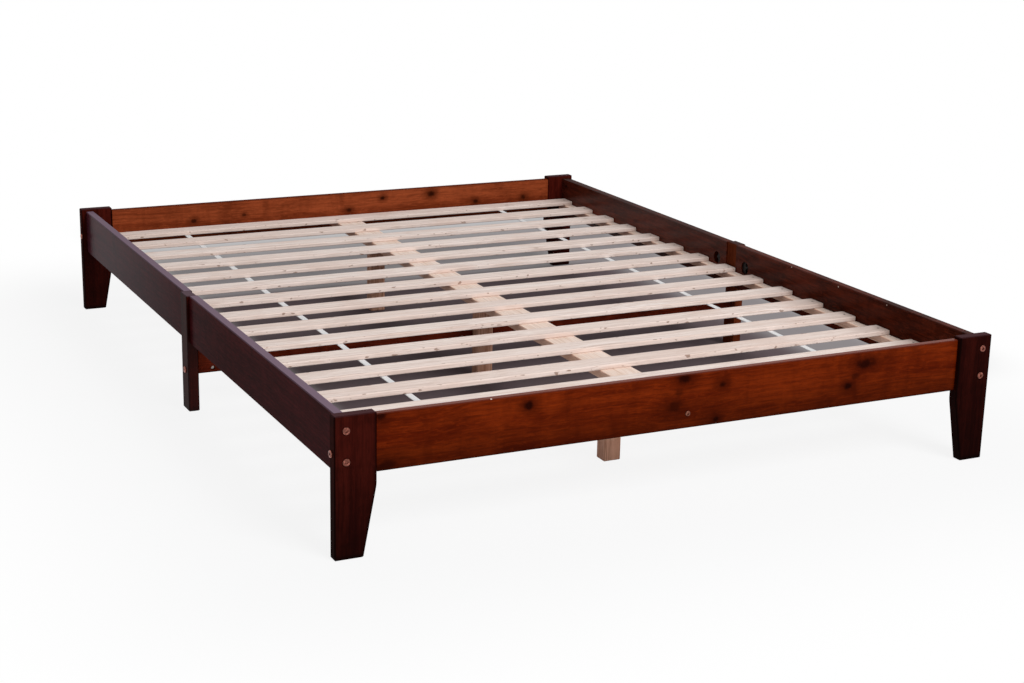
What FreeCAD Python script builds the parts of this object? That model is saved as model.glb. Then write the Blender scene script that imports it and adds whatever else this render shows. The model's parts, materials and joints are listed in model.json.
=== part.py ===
"""Wooden bed base: four tapered corner posts, split side rails, a centre beam on legs and a slatted floor.

Millimetres, +Z up. The origin is on the floor under the middle of the bed, X runs across the bed
and Y along it, with the front (foot) end at -Y.
"""
import FreeCAD, Part
import math
import os

import Sketcher

from FreeCAD import Placement, Rotation, Vector

doc = FreeCAD.newDocument("BedBase")

# Driving sizes: name, value, meaning
SIZES = (
    ("bed_width", 1600, "over the outer edges of the corner posts"),
    ("bed_length", 2090, "over the outer faces of the corner posts"),
    ("post_height", 298, "corner post, floor to top"),
    ("post_width", 89, "corner post across the bed, above the taper"),
    ("post_foot_width", 61, "corner post across the bed, at the floor"),
    ("post_thickness", 25, "corner post along the bed"),
    ("post_taper_height", 148, "height where the inner edge starts to taper"),
    ("post_taper_round", 65, "radius of the soft bend above the taper"),
    ("edge_bevel", 2, "bevelled edges of the stained boards and the legs"),
    ("rail_drop", 7, "rail top below post top"),
    ("rail_height", 120, "height of all four rails"),
    ("end_rail_thickness", 18, "end rail along the bed"),
    ("end_rail_recess", 10, "end rail face behind the post face"),
    ("side_rail_thickness", 22, "side rail across the bed"),
    ("side_rail_inset", 14, "side rail face inside the post edge"),
    ("mid_leg_width", 50, "middle side leg along the bed"),
    ("mid_leg_proud", 8, "middle side leg outside the rail face"),
    ("mid_leg_recess", 3, "middle side leg behind the rail's inner face"),
    ("mid_leg_drop", 7, "middle side leg top below post top"),
    ("seat_drop", 75, "underside of the slats below the rail top"),
    ("ledge_width", 28, "slat ledge across the bed"),
    ("ledge_height", 18, "slat ledge, top to bottom"),
    ("ledge_joint_gap", 1, "gap between the two ledges of one side"),
    ("pine_bevel", 1.5, "bevelled edges of the raw pine strips and beams"),
    ("slat_count", 15, "slats"),
    ("slat_width", 57, "slat along the bed"),
    ("slat_thickness", 12, "slat, top to bottom"),
    ("slat_round", 3, "rounded long edges of a slat"),
    ("slat_end_gap", 2, "slat end to side rail"),
    ("slat_margin", 17, "first and last slat to end rail"),
    ("beam_width", 80, "centre beam across the bed"),
    ("beam_height", 20, "centre beam, top to bottom"),
    ("cross_beam_height", 60, "cross beam, top to bottom"),
    ("cross_beam_clearance", 90, "floor to the cross beam's underside"),
    ("cross_beam_thickness", 22, "cross beam along the bed"),
    ("centre_leg_width", 43, "centre leg across the bed"),
    ("centre_leg_depth", 36, "centre leg along the bed"),
    ("centre_leg_offset", 8, "centre legs left of the beam's middle"),
    ("centre_leg_spread", 716, "outer centre legs from the middle of the bed"),
    ("beam_joint_seat", 14, "rear half of the centre beam on the middle leg"),
    ("bolt_head_sides", 20, "facets round a bolt head"),
    ("pin_sides", 8, "facets of the repeated pins and bores, few to keep the model light"),
    ("screw_sides", 6, "facets of the repeated wood screws and their pilot holes"),
    ("strap_width", 15, "webbing strap across"),
    ("strap_thickness", 1.2, "webbing strap, top to bottom"),
    ("strap_spread", 508, "webbing strap from the middle of the bed"),
    ("strap_overhang", 18, "strap past the middle of the end slats"),
    ("bolt_diameter", 6, "shank of the connector bolts"),
    ("bolt_gap", 0.5, "bolt clearance in wood, on the radius"),
    ("fit_gap", 0.2, "clearance of nuts, dowels and screws, on the radius"),
    ("bolt_tip", 8, "bolt past the middle of its barrel nut"),
    ("bolt_head_diameter", 16, "head of a frame bolt"),
    ("bolt_head_height", 3, "head of a frame bolt"),
    ("socket_width", 5, "hexagon socket across corners"),
    ("socket_depth", 2, "hexagon socket"),
    ("beam_bolt_head_diameter", 12, "head of a centre beam bolt"),
    ("barrel_nut_diameter", 10, "barrel nut"),
    ("barrel_nut_length", 12, "barrel nut"),
    ("end_nut_length", 9, "shorter barrel nut of the thin end rail"),
    ("barrel_nut_floor", 1, "bore past the inner end of a barrel nut"),
    ("corner_nut_setback", 30, "barrel nut from the end of a side rail"),
    ("corner_bolt_spacing", 64, "between the two bolts of a corner"),
    ("corner_bolt_rise", 4, "corner bolts' middle above the rail's middle"),
    ("end_nut_setback", 40, "barrel nut from the end of an end rail"),
    ("end_bolt_drop", 13, "end rail bolt below the rail's middle"),
    ("end_bolt_depth", 18, "end rail bolt behind the post face"),
    ("beam_nut_setback", 40, "barrel nut from the end of the centre beam"),
    ("beam_bolt_drop", 12, "centre beam bolt below the beam top"),
    ("cross_nut_setback", 40, "barrel nut from the end of the cross beam"),
    ("cross_bolt_rise", 11, "cross beam bolt above the beam's underside"),
    ("cross_dowel_rise", 42, "cross beam dowel above the beam's underside"),
    ("dowel_diameter", 8, "hardwood dowels"),
    ("dowel_length", 40, "dowel between rail and post or leg"),
    ("cross_dowel_length", 26, "dowel between cross beam and leg"),
    ("dowel_slack", 1, "room at each end of a dowel"),
    ("dowel_spread", 38, "dowels from the rail's middle"),
    ("stud_diameter", 8, "threaded stud through a middle side leg"),
    ("stud_rise", 20, "stud above the slat seat"),
    ("stud_tip", 3, "stud past its nut"),
    ("pocket_diameter", 34, "round access pocket in a side rail"),
    ("pocket_depth", 19, "access pocket from the rail's inner face"),
    ("pocket_setback", 46, "access pocket's middle from the rail's end"),
    ("half_moon_thickness", 14, "half-moon washer along its axis"),
    ("stud_nut_width", 15, "hexagon nut across corners"),
    ("stud_nut_height", 6.5, "hexagon nut"),
    ("screw_diameter", 4, "shank of the wood screws"),
    ("screw_head_diameter", 7, "head of the wood screws"),
    ("screw_head_height", 2.5, "head of the wood screws"),
    ("screw_sink", 0.6, "screw head below the surface"),
    ("screw_end_room", 2, "pilot hole past the screw's tip"),
    ("slat_screw_length", 26, "screw through a slat into its ledge"),
    ("slat_screw_inset", 14, "slat screw from the slat's end"),
    ("middle_screw_shift", 14, "middle slat's screw from the ledges' joint"),
    ("ledge_screw_length", 40, "screw through a ledge into its rail"),
    ("beam_screw_length", 50, "screw through the centre beam into the middle leg"),
    ("beam_screw_spread", 10, "beam and cross beam screws from the middle leg's middle"),
    ("beam_screw_inset", 7, "beam screw behind the joint of the two beam halves"),
    ("cross_screw_length", 45, "screw through the cross beam into the middle leg"),
    ("cross_screw_rise", 30, "cross beam screw above the beam's underside"),
    ("leg_bolt_diameter", 8, "hanger bolt between centre leg and beam"),
    ("leg_bolt_reach", 32, "hanger bolt down into the leg"),
    ("leg_bolt_rise", 14, "hanger bolt up into the beam"),
    ("leg_bolt_inset", 12, "middle leg's hanger bolt behind the leg's front face"),
)

sheet = doc.addObject("Spreadsheet::Sheet", "Sizes")
for row, (name, size, meaning) in enumerate(SIZES, start=1):
    sheet.set(f"A{row}", name)
    sheet.set(f"B{row}", str(size))
    sheet.set(f"C{row}", meaning)
    sheet.setAlias(f"B{row}", name)
doc.recompute()


class Cells:
    """Gives the reference to a named cell, ready for an expression."""

    def __getattr__(self, name):
        return f"Sizes.{name}"


cell = Cells()

# Places worked out from the driving sizes
half_width = f"({cell.bed_width} / 2)"
half_length = f"({cell.bed_length} / 2)"
rail_top = f"({cell.post_height} - {cell.rail_drop})"
rail_bottom = f"({rail_top} - {cell.rail_height})"
rail_middle = f"({rail_top} - {cell.rail_height} / 2)"
seat = f"({rail_top} - {cell.seat_drop})"
side_outer = f"({half_width} - {cell.side_rail_inset})"
side_inner = f"({side_outer} - {cell.side_rail_thickness})"
side_middle = f"({side_outer} - {cell.side_rail_thickness} / 2)"
post_back = f"({half_length} - {cell.post_thickness})"
end_outer = f"({half_length} - {cell.end_rail_recess})"
end_inner = f"({end_outer} - {cell.end_rail_thickness})"
end_rail_half = f"({half_width} - {cell.post_width})"
mid_leg_half = f"({cell.mid_leg_width} / 2)"
mid_leg_outer = f"({side_outer} + {cell.mid_leg_proud})"
mid_leg_inner = f"({side_inner} + {cell.mid_leg_recess})"
mid_leg_top = f"({cell.post_height} - {cell.mid_leg_drop})"
side_rail_length = f"({post_back} - {mid_leg_half})"
beam_bottom = f"({seat} - {cell.beam_height})"
cross_half = f"({cell.cross_beam_thickness} / 2)"
leg_left = f"(-{cell.centre_leg_offset} - {cell.centre_leg_width} / 2)"
middle_leg_front = f"(-{cross_half} - {cell.centre_leg_depth})"
beam_joint = f"(-{cross_half} - {cell.beam_joint_seat})"
slat_half = f"({side_inner} - {cell.slat_end_gap})"
slat_pitch = f"((2 * {end_inner} - 2 * {cell.slat_margin} - {cell.slat_width}) / ({cell.slat_count} - 1))"
slat_screw_x = f"({slat_half} - {cell.slat_screw_inset})"
ledge_inner = f"({side_inner} - {cell.ledge_width})"
ledge_bottom = f"({seat} - {cell.ledge_height})"
ledge_middle = f"({seat} - {cell.ledge_height} / 2)"
nut_bore_radius = f"({cell.barrel_nut_diameter} / 2 + {cell.fit_gap})"
bolt_bore_radius = f"({cell.bolt_diameter} / 2 + {cell.bolt_gap})"
dowel_bore_radius = f"({cell.dowel_diameter} / 2 + {cell.fit_gap})"
stud_bore_radius = f"({cell.stud_diameter} / 2 + {cell.bolt_gap})"
stud_height = f"({seat} + {cell.stud_rise})"
pocket_y = f"({mid_leg_half} + {cell.pocket_setback})"
screw_seat = f"({cell.screw_sink} + {cell.screw_head_height})"
corner_nut_y = f"({post_back} - {cell.corner_nut_setback})"
ledge_end = f"({corner_nut_y} - {nut_bore_radius} - {cell.fit_gap})"

# Turns that take the local Z axis to a world direction
TURN = {
    "+x": Rotation(Vector(0, 1, 0), 90),
    "-x": Rotation(Vector(0, 1, 0), -90),
    "+y": Rotation(Vector(1, 0, 0), -90),
    "-y": Rotation(Vector(1, 0, 0), 90),
    "+z": Rotation(),
    "-z": Rotation(Vector(1, 0, 0), 180),
}
# Turns that lay a board along X or Y, with its section's two sides on the next axes in turn
LAY = {
    "X": Rotation(Vector(1, 1, 1), 120),
    "Y": Rotation(Vector(1, 1, 1), -120),
    "Z": Rotation(),
}
MIRROR_NORMAL = {"X": Vector(1, 0, 0), "Y": Vector(0, 1, 0)}
NODES = []


def amount(expression):
    """Number that an expression gives now, for the first draft of a sketch."""
    return float(sheet.evalExpression(expression))


def bind(thing, **expressions):
    """Binds properties of a document object to expressions."""
    for name, expression in expressions.items():
        thing.setExpression(name, expression)


def place(thing, point, turn=Rotation()):
    """Puts a document object at a point given by three expressions, with a fixed turn."""
    thing.Placement = Placement(Vector(), turn)
    for axis, expression in zip("xyz", point):
        thing.setExpression(f"Placement.Base.{axis}", expression)


def node(thing, label):
    """Names a finished sub-part and keeps it for export."""
    thing.Label = label
    NODES.append(thing)
    return thing


def new_body(title):
    """Empty body."""
    return doc.addObject("PartDesign::Body", title)


def plane_sketch(body, role):
    """Sketch on one of the body's own origin planes."""
    sketch = body.newObject("Sketcher::SketchObject", "Sketch")
    planes = [feature for feature in body.Origin.OriginFeatures if feature.Role == role]
    sketch.AttachmentSupport = [(planes[0], "")]
    sketch.MapMode = "FlatFace"
    return sketch


def bound_constraint(sketch, constraint, title, expression):
    """Adds a dimension to a sketch and binds it to an expression."""
    sketch.addConstraint(constraint)
    index = sketch.ConstraintCount - 1
    sketch.renameConstraint(index, title)
    sketch.setExpression(f"Constraints.{title}", expression)


def draw_outline(sketch, points):
    """Closed outline of straight lines whose corners are pairs of expressions."""
    spots = [Vector(amount(across), amount(up), 0) for across, up in points]
    count = len(spots)
    for index in range(count):
        sketch.addGeometry(Part.LineSegment(spots[index], spots[(index + 1) % count]), False)
    for index in range(count):
        sketch.addConstraint(Sketcher.Constraint("Coincident", index, 2, (index + 1) % count, 1))
    for index, (across, up) in enumerate(points):
        if across == "0":
            sketch.addConstraint(Sketcher.Constraint("PointOnObject", index, 1, -2))
        else:
            rule = Sketcher.Constraint("DistanceX", -1, 1, index, 1, spots[index].x)
            bound_constraint(sketch, rule, f"across_{index}", across)
        if up == "0":
            sketch.addConstraint(Sketcher.Constraint("PointOnObject", index, 1, -1))
        else:
            rule = Sketcher.Constraint("DistanceY", -1, 1, index, 1, spots[index].y)
            bound_constraint(sketch, rule, f"up_{index}", up)


def draw_bevelled(sketch, width, height, bevel):
    """Rectangle with bevelled corners, from the sketch's origin to width and height."""
    draw_outline(sketch, [
        (bevel, "0"),
        (f"{width} - {bevel}", "0"),
        (width, bevel),
        (width, f"{height} - {bevel}"),
        (f"{width} - {bevel}", height),
        (bevel, height),
        ("0", f"{height} - {bevel}"),
        ("0", bevel),
    ])


def draw_section(sketch, width, height, rounding):
    """Rectangle with rounded corners, from the sketch's origin to width and height."""
    wide = amount(width)
    high = amount(height)
    bend = amount(rounding)
    quarter = math.pi / 2
    sides = (
        (Vector(bend, 0, 0), Vector(wide - bend, 0, 0)),
        (Vector(wide, bend, 0), Vector(wide, high - bend, 0)),
        (Vector(wide - bend, high, 0), Vector(bend, high, 0)),
        (Vector(0, high - bend, 0), Vector(0, bend, 0)),
    )
    centres = (
        Vector(wide - bend, bend, 0),
        Vector(wide - bend, high - bend, 0),
        Vector(bend, high - bend, 0),
        Vector(bend, bend, 0),
    )
    for start, end in sides:
        sketch.addGeometry(Part.LineSegment(start, end), False)
    for index, centre in enumerate(centres):
        circle = Part.Circle(centre, Vector(0, 0, 1), bend)
        first = (index - 1) * quarter
        sketch.addGeometry(Part.ArcOfCircle(circle, first, first + quarter), False)
    for index in range(4):
        corner = index + 4
        sketch.addConstraint(Sketcher.Constraint("Tangent", index, 2, corner, 1))
        sketch.addConstraint(Sketcher.Constraint("Tangent", corner, 2, (index + 1) % 4, 1))
    sketch.addConstraint(Sketcher.Constraint("Horizontal", 0))
    sketch.addConstraint(Sketcher.Constraint("Vertical", 1))
    sketch.addConstraint(Sketcher.Constraint("Horizontal", 2))
    sketch.addConstraint(Sketcher.Constraint("Vertical", 3))
    for corner in (5, 6, 7):
        sketch.addConstraint(Sketcher.Constraint("Equal", 4, corner))
    sketch.addConstraint(Sketcher.Constraint("PointOnObject", 0, 1, -1))
    sketch.addConstraint(Sketcher.Constraint("PointOnObject", 3, 1, -2))
    bound_constraint(sketch, Sketcher.Constraint("Radius", 4, bend), "rounding", rounding)
    bound_constraint(sketch, Sketcher.Constraint("DistanceX", -1, 1, 1, 1, wide), "width", width)
    bound_constraint(sketch, Sketcher.Constraint("DistanceY", -1, 1, 2, 1, high), "height", height)


def draw_tapered(sketch, width, foot, height, taper, rounding):
    """Upright board whose right edge leans in below the taper height, with a soft bend there."""
    wide = amount(width)
    narrow = amount(foot)
    high = amount(height)
    start = amount(taper)
    radius = amount(rounding)
    lean = math.atan2(wide - narrow, start)
    reach = radius * math.tan(lean / 2)
    below = Vector(wide - reach * math.sin(lean), start - reach * math.cos(lean), 0)
    above = Vector(wide, start + reach, 0)
    circle = Part.Circle(Vector(wide - radius, start + reach, 0), Vector(0, 0, 1), radius)
    sketch.addGeometry(Part.LineSegment(Vector(0, 0, 0), Vector(narrow, 0, 0)), False)
    sketch.addGeometry(Part.LineSegment(Vector(narrow, 0, 0), below), False)
    sketch.addGeometry(Part.ArcOfCircle(circle, -lean, 0), False)
    sketch.addGeometry(Part.LineSegment(above, Vector(wide, high, 0)), False)
    sketch.addGeometry(Part.LineSegment(Vector(wide, high, 0), Vector(0, high, 0)), False)
    sketch.addGeometry(Part.LineSegment(Vector(0, high, 0), Vector(0, 0, 0)), False)
    sketch.addGeometry(Part.Point(Vector(wide, start, 0)), True)
    sketch.addConstraint(Sketcher.Constraint("Coincident", 0, 1, -1, 1))
    sketch.addConstraint(Sketcher.Constraint("Coincident", 0, 2, 1, 1))
    sketch.addConstraint(Sketcher.Constraint("Tangent", 1, 2, 2, 1))
    sketch.addConstraint(Sketcher.Constraint("Tangent", 2, 2, 3, 1))
    sketch.addConstraint(Sketcher.Constraint("Coincident", 3, 2, 4, 1))
    sketch.addConstraint(Sketcher.Constraint("Coincident", 4, 2, 5, 1))
    sketch.addConstraint(Sketcher.Constraint("Coincident", 5, 2, 0, 1))
    sketch.addConstraint(Sketcher.Constraint("Horizontal", 0))
    sketch.addConstraint(Sketcher.Constraint("Vertical", 3))
    sketch.addConstraint(Sketcher.Constraint("Horizontal", 4))
    sketch.addConstraint(Sketcher.Constraint("Vertical", 5))
    sketch.addConstraint(Sketcher.Constraint("PointOnObject", 6, 1, 1))
    sketch.addConstraint(Sketcher.Constraint("PointOnObject", 6, 1, 3))
    bound_constraint(sketch, Sketcher.Constraint("DistanceX", 0, 1, 0, 2, narrow), "foot", foot)
    bound_constraint(sketch, Sketcher.Constraint("DistanceX", 4, 2, 4, 1, wide), "width", width)
    bound_constraint(sketch, Sketcher.Constraint("DistanceY", 5, 2, 5, 1, high), "height", height)
    bound_constraint(sketch, Sketcher.Constraint("DistanceY", -1, 1, 6, 1, start), "taper", taper)
    bound_constraint(sketch, Sketcher.Constraint("Radius", 2, radius), "bend", rounding)


def pad(body, sketch, length, reversed_pad=False):
    """Pad of a sketch by a bound length."""
    feature = body.newObject("PartDesign::Pad", "Pad")
    feature.Profile = sketch
    feature.Reversed = reversed_pad
    bind(feature, Length=length)
    return feature


def bevel_all(body, feature, size):
    """Bevels every sharp edge of a body by the same small size."""
    doc.recompute()
    bevel = body.newObject("PartDesign::Chamfer", "BevelledEdges")
    bevel.Base = (feature, ["Edge1"])
    bevel.UseAllEdges = True
    bind(bevel, Size=size)


def board(title, along, corner, size, easing, draw=draw_section):
    """Board with eased long edges, from its low corner, running along X, Y or Z."""
    size_x, size_y, size_z = size
    wide, high, length = {
        "X": (size_y, size_z, size_x),
        "Y": (size_z, size_x, size_y),
        "Z": (size_x, size_y, size_z),
    }[along]
    body = new_body(title)
    sketch = plane_sketch(body, "XY_Plane")
    draw(sketch, wide, high, easing)
    pad(body, sketch, length)
    place(body, corner, LAY[along])
    return body


def bevelled_leg(title, corner, width, depth, height):
    """Upright rectangular leg with every edge bevelled."""
    body = new_body(title)
    sketch = plane_sketch(body, "XY_Plane")
    draw_outline(sketch, [("0", "0"), (width, "0"), (width, depth), ("0", depth)])
    bevel_all(body, pad(body, sketch, height), cell.edge_bevel)
    place(body, corner)
    return body


def rod(title, point, out, radius, length):
    """Round bar from a point, running in a direction."""
    bar = doc.addObject("Part::Cylinder", title)
    bind(bar, Radius=radius, Height=length)
    place(bar, point, TURN[out])
    return bar


def pin(title, point, out, radius, length, sides=cell.pin_sides):
    """Small round bar or bore with few facets, from a point, running in a direction."""
    bar = doc.addObject("Part::Prism", title)
    bind(bar, Polygon=sides, Circumradius=radius, Height=length)
    place(bar, point, TURN[out])
    return bar


def fused(title, shapes):
    """One tool from several."""
    union = doc.addObject("Part::MultiFuse", title)
    union.Shapes = shapes
    return union


def cut(title, base, tools):
    """Base with all the tools taken out of it."""
    result = doc.addObject("Part::Cut", title)
    result.Base = base
    result.Tool = tools[0] if len(tools) == 1 else fused(f"{title}_bores", tools)
    return result


def mirrored(source, axis):
    """Copy on the other side of the bed's middle, across (X) or along (Y)."""
    copy = doc.addObject("Part::Mirroring", f"{source.Name}_mirror")
    copy.Source = source
    copy.Base = Vector()
    copy.Normal = MIRROR_NORMAL[axis]
    return copy


def both_sides(shapes, axis):
    """The shapes and their mirror images."""
    return shapes + [mirrored(shape, axis) for shape in shapes]


def all_corners(shapes):
    """The shapes at all four corners of the bed."""
    return both_sides(both_sides(shapes, "X"), "Y")


def group(label, shapes):
    """Sub-part of separate like pieces."""
    compound = doc.addObject("Part::Compound", label)
    compound.Links = shapes
    return node(compound, label)


def connector_bolt(title, point, out, length, head_diameter):
    """Bolt with a flat round head and a hexagon socket; point is under the head."""
    head = pin(f"{title}_head", point, out, f"{head_diameter} / 2", cell.bolt_head_height, cell.bolt_head_sides)
    shank = pin(f"{title}_shank", point, OPPOSITE[out], f"{cell.bolt_diameter} / 2", length)
    blank = fused(f"{title}_blank", [head, shank])
    socket = doc.addObject("Part::Prism", f"{title}_socket")
    socket.Polygon = 6
    bind(socket, Circumradius=f"{cell.socket_width} / 2", Height=cell.socket_depth)
    rise = f"({cell.bolt_head_height} - {cell.socket_depth})"
    place(socket, moved(point, out, rise), TURN[out])
    return cut(title, blank, [socket])


def moved(point, out, distance):
    """A point's expressions, moved a distance in a direction."""
    sign = out[0]
    index = "xyz".index(out[1])
    return tuple(f"({part} {sign} {distance})" if spot == index else part for spot, part in enumerate(point))


OPPOSITE = {"+x": "-x", "-x": "+x", "+y": "-y", "-y": "+y", "+z": "-z", "-z": "+z"}


def bolt_bore(title, point, out, length):
    """Clearance hole for a bolt whose head seats at the point."""
    return pin(title, point, OPPOSITE[out], bolt_bore_radius, length)


def barrel_nut(title, mouth, out, nut_middle, bolt_middle, bolt_out, length=cell.barrel_nut_length):
    """Barrel nut and its bore. The bore opens at mouth; the nut lies round the bolt's axis."""
    half = f"({length} / 2)"
    blank = pin(f"{title}_blank", moved(bolt_middle, OPPOSITE[out], half), out,
                f"{cell.barrel_nut_diameter} / 2", length)
    thread = pin(f"{title}_thread", moved(bolt_middle, OPPOSITE[bolt_out], cell.barrel_nut_diameter), bolt_out,
                 f"{cell.bolt_diameter} / 2 + {cell.fit_gap}", f"2 * {cell.barrel_nut_diameter}")
    nut = cut(title, blank, [thread])
    depth = f"({nut_middle} + {half} + {cell.barrel_nut_floor})"
    bore = pin(f"{title}_bore", mouth, OPPOSITE[out], nut_bore_radius, depth)
    return nut, bore


def wood_screw(title, point, out, length):
    """Flat-headed screw; point is on the surface that its head sinks into."""
    inward = OPPOSITE[out]
    top = moved(point, inward, cell.screw_sink)
    head = pin(f"{title}_head", top, inward, f"{cell.screw_head_diameter} / 2", cell.screw_head_height,
               cell.screw_sides)
    shank = pin(f"{title}_shank", top, inward, f"{cell.screw_diameter} / 2", f"{length} - {cell.screw_sink}",
                cell.screw_sides)
    return fused(title, [head, shank])


def screw_bores(title, point, out, length):
    """Pilot hole and head recess of a wood screw."""
    inward = OPPOSITE[out]
    pilot = pin(f"{title}_pilot", point, inward, f"{cell.screw_diameter} / 2 + {cell.fit_gap}",
                f"{length} + {cell.screw_end_room}", cell.screw_sides)
    recess = pin(f"{title}_recess", point, inward, f"{cell.screw_head_diameter} / 2 + {cell.fit_gap}", screw_seat,
                 cell.screw_sides)
    return [pilot, recess]


def dowel(title, joint, out, length):
    """Dowel across a joint, and its bore with room at both ends."""
    half = f"({length} / 2)"
    peg = pin(title, moved(joint, OPPOSITE[out], half), out, f"{cell.dowel_diameter} / 2", length)
    reach = f"({half} + {cell.dowel_slack})"
    bore = pin(f"{title}_bore", moved(joint, OPPOSITE[out], reach), out, dowel_bore_radius, f"2 * {reach}")
    return peg, bore


# Frame bolts, barrel nuts and dowels of the front left corner
corner_bolts = []
corner_nuts = []
post_bores = []
side_rail_bores = []
for name, side in (("upper", "+"), ("lower", "-")):
    bolt_z = f"({rail_middle} + {cell.corner_bolt_rise} {side} {cell.corner_bolt_spacing} / 2)"
    bolt_seat = (f"-{side_middle}", f"-{half_length}", bolt_z)
    bolt_length = f"({cell.post_thickness} + {cell.corner_nut_setback} + {cell.bolt_tip})"
    corner_bolts.append(connector_bolt(f"bolt_{name}", bolt_seat, "-y", bolt_length, cell.bolt_head_diameter))
    bore_length = f"({bolt_length} + {cell.bolt_tip})"
    post_bores.append(bolt_bore(f"post_bore_{name}", bolt_seat, "-y", bore_length))
    side_rail_bores.append(post_bores[-1])
    nut_middle = (f"-{side_middle}", f"-{corner_nut_y}", bolt_z)
    nut_mouth = (f"-{side_inner}", f"-{corner_nut_y}", bolt_z)
    nut, nut_bore = barrel_nut(f"corner_nut_{name}", nut_mouth, "+x", f"({cell.side_rail_thickness} / 2)",
                               nut_middle, "-y")
    corner_nuts.append(nut)
    side_rail_bores.append(nut_bore)

end_bolt_y = f"({half_length} - {cell.end_bolt_depth})"
end_bolt_z = f"({rail_middle} - {cell.end_bolt_drop})"
end_nut_x = f"({end_rail_half} - {cell.end_nut_setback})"
end_bolt_seat = (f"-{half_width}", f"-{end_bolt_y}", end_bolt_z)
end_bolt_length = f"({cell.post_width} + {cell.end_nut_setback} + {cell.bolt_tip})"
end_bolt = connector_bolt("end_bolt", end_bolt_seat, "-x", end_bolt_length, cell.bolt_head_diameter)
end_bolt_bore = bolt_bore("end_bolt_bore", end_bolt_seat, "-x", f"({end_bolt_length} + {cell.bolt_tip})")
end_nut, end_nut_bore = barrel_nut(
    "end_nut", (f"-{end_nut_x}", f"-{end_inner}", end_bolt_z), "+y", f"({end_bolt_y} - {end_inner})",
    (f"-{end_nut_x}", f"-{end_bolt_y}", end_bolt_z), "-x", cell.end_nut_length)

dowels = []
end_dowel_bores = []
mid_dowel_bores = []
end_rail_y = f"(({end_outer} + {post_back}) / 2)"
for name, side in (("upper", "+"), ("lower", "-")):
    dowel_z = f"({rail_middle} {side} {cell.dowel_spread})"
    peg, bore = dowel(f"end_dowel_{name}", (f"-{end_rail_half}", f"-{end_rail_y}", dowel_z), "+x", cell.dowel_length)
    dowels.append(peg)
    end_dowel_bores.append(bore)
    peg, bore = dowel(f"mid_dowel_{name}", (f"-{side_middle}", f"-{mid_leg_half}", dowel_z), "+y", cell.dowel_length)
    dowels.append(peg)
    mid_dowel_bores.append(bore)

# Corner posts: a board with its inner edge tapering to the foot
post_blank = new_body("post_blank")
post_sketch = plane_sketch(post_blank, "XZ_Plane")
draw_tapered(post_sketch, cell.post_width, cell.post_foot_width, cell.post_height, cell.post_taper_height,
             cell.post_taper_round)
post_pad = pad(post_blank, post_sketch, cell.post_thickness, True)
bevel_all(post_blank, post_pad, cell.edge_bevel)
place(post_blank, (f"-{half_width}", f"-{half_length}", "0"))
post = cut("post", post_blank, post_bores + [end_bolt_bore] + end_dowel_bores)
node(post, "corner_post_front_left")
post_right = node(mirrored(post, "X"), "corner_post_front_right")
node(mirrored(post, "Y"), "corner_post_rear_left")
node(mirrored(post_right, "Y"), "corner_post_rear_right")

# Bolts of each corner stay together
bolts_left = group("corner_bolts_front_left", corner_bolts + [end_bolt])
bolts_right = node(mirrored(bolts_left, "X"), "corner_bolts_front_right")
node(mirrored(bolts_left, "Y"), "corner_bolts_rear_left")
node(mirrored(bolts_right, "Y"), "corner_bolts_rear_right")
group("corner_barrel_nuts", all_corners(corner_nuts))
group("end_rail_barrel_nuts", all_corners([end_nut]))

# End rails, with a bolt in the middle that holds the centre beam
beam_bolt_z = f"({seat} - {cell.beam_bolt_drop})"
beam_bolt_seat = ("0", f"-{end_outer}", beam_bolt_z)
beam_bolt_length = f"({cell.end_rail_thickness} + {cell.beam_nut_setback} + {cell.bolt_tip})"
beam_bolt = connector_bolt("beam_bolt", beam_bolt_seat, "-y", beam_bolt_length, cell.beam_bolt_head_diameter)
beam_bolt_bore = bolt_bore("beam_bolt_bore", beam_bolt_seat, "-y", f"({beam_bolt_length} + {cell.bolt_tip})")
beam_nut_y = f"({end_inner} - {cell.beam_nut_setback})"
beam_nut, beam_nut_bore = barrel_nut(
    "beam_nut", ("0", f"-{beam_nut_y}", beam_bottom), "-z", f"({beam_bolt_z} - {beam_bottom})",
    ("0", f"-{beam_nut_y}", beam_bolt_z), "-y")

end_rail_blank = board(
    "end_rail_blank", "X", (f"-{end_rail_half}", f"-{end_outer}", rail_bottom),
    (f"2 * {end_rail_half}", cell.end_rail_thickness, cell.rail_height), cell.edge_bevel, draw_bevelled)
end_rail_bores = both_sides([end_bolt_bore, end_nut_bore] + end_dowel_bores, "X")
end_rail = node(cut("end_rail", end_rail_blank, end_rail_bores + [beam_bolt_bore]), "end_rail_front")
node(mirrored(end_rail, "Y"), "end_rail_rear")
node(beam_bolt, "centre_beam_bolt_front")
node(mirrored(beam_bolt, "Y"), "centre_beam_bolt_rear")
group("centre_beam_barrel_nuts", both_sides([beam_nut], "Y"))

# Stud joint at the middle side leg: half-moon washers and nuts in round pockets
stud_end = f"({pocket_y} + {cell.stud_nut_height} + {cell.stud_tip})"
stud = pin("stud", (f"-{side_middle}", f"-{stud_end}", stud_height), "+y", f"{cell.stud_diameter} / 2",
           f"2 * {stud_end}")
group("mid_leg_studs", both_sides([stud], "X"))
stud_bore = pin("stud_bore", (f"-{side_middle}", f"-{stud_end}", stud_height), "+y", stud_bore_radius,
                f"2 * {stud_end}")
thread_bore = pin("thread_bore", (f"-{side_middle}", f"-{stud_end}", stud_height), "+y",
                  f"{cell.stud_diameter} / 2 + {cell.fit_gap}", stud_end)
pocket = rod("pocket", (f"-{side_inner}", f"-{pocket_y}", stud_height), "-x", f"{cell.pocket_diameter} / 2",
             cell.pocket_depth)
half_moon_blank = rod(
    "half_moon_blank", (f"-{side_middle} - {cell.half_moon_thickness} / 2", f"-{pocket_y}", stud_height), "+x",
    f"{cell.pocket_diameter} / 2 - {cell.fit_gap}", cell.half_moon_thickness)
half_moon_blank.Angle = 180
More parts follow.
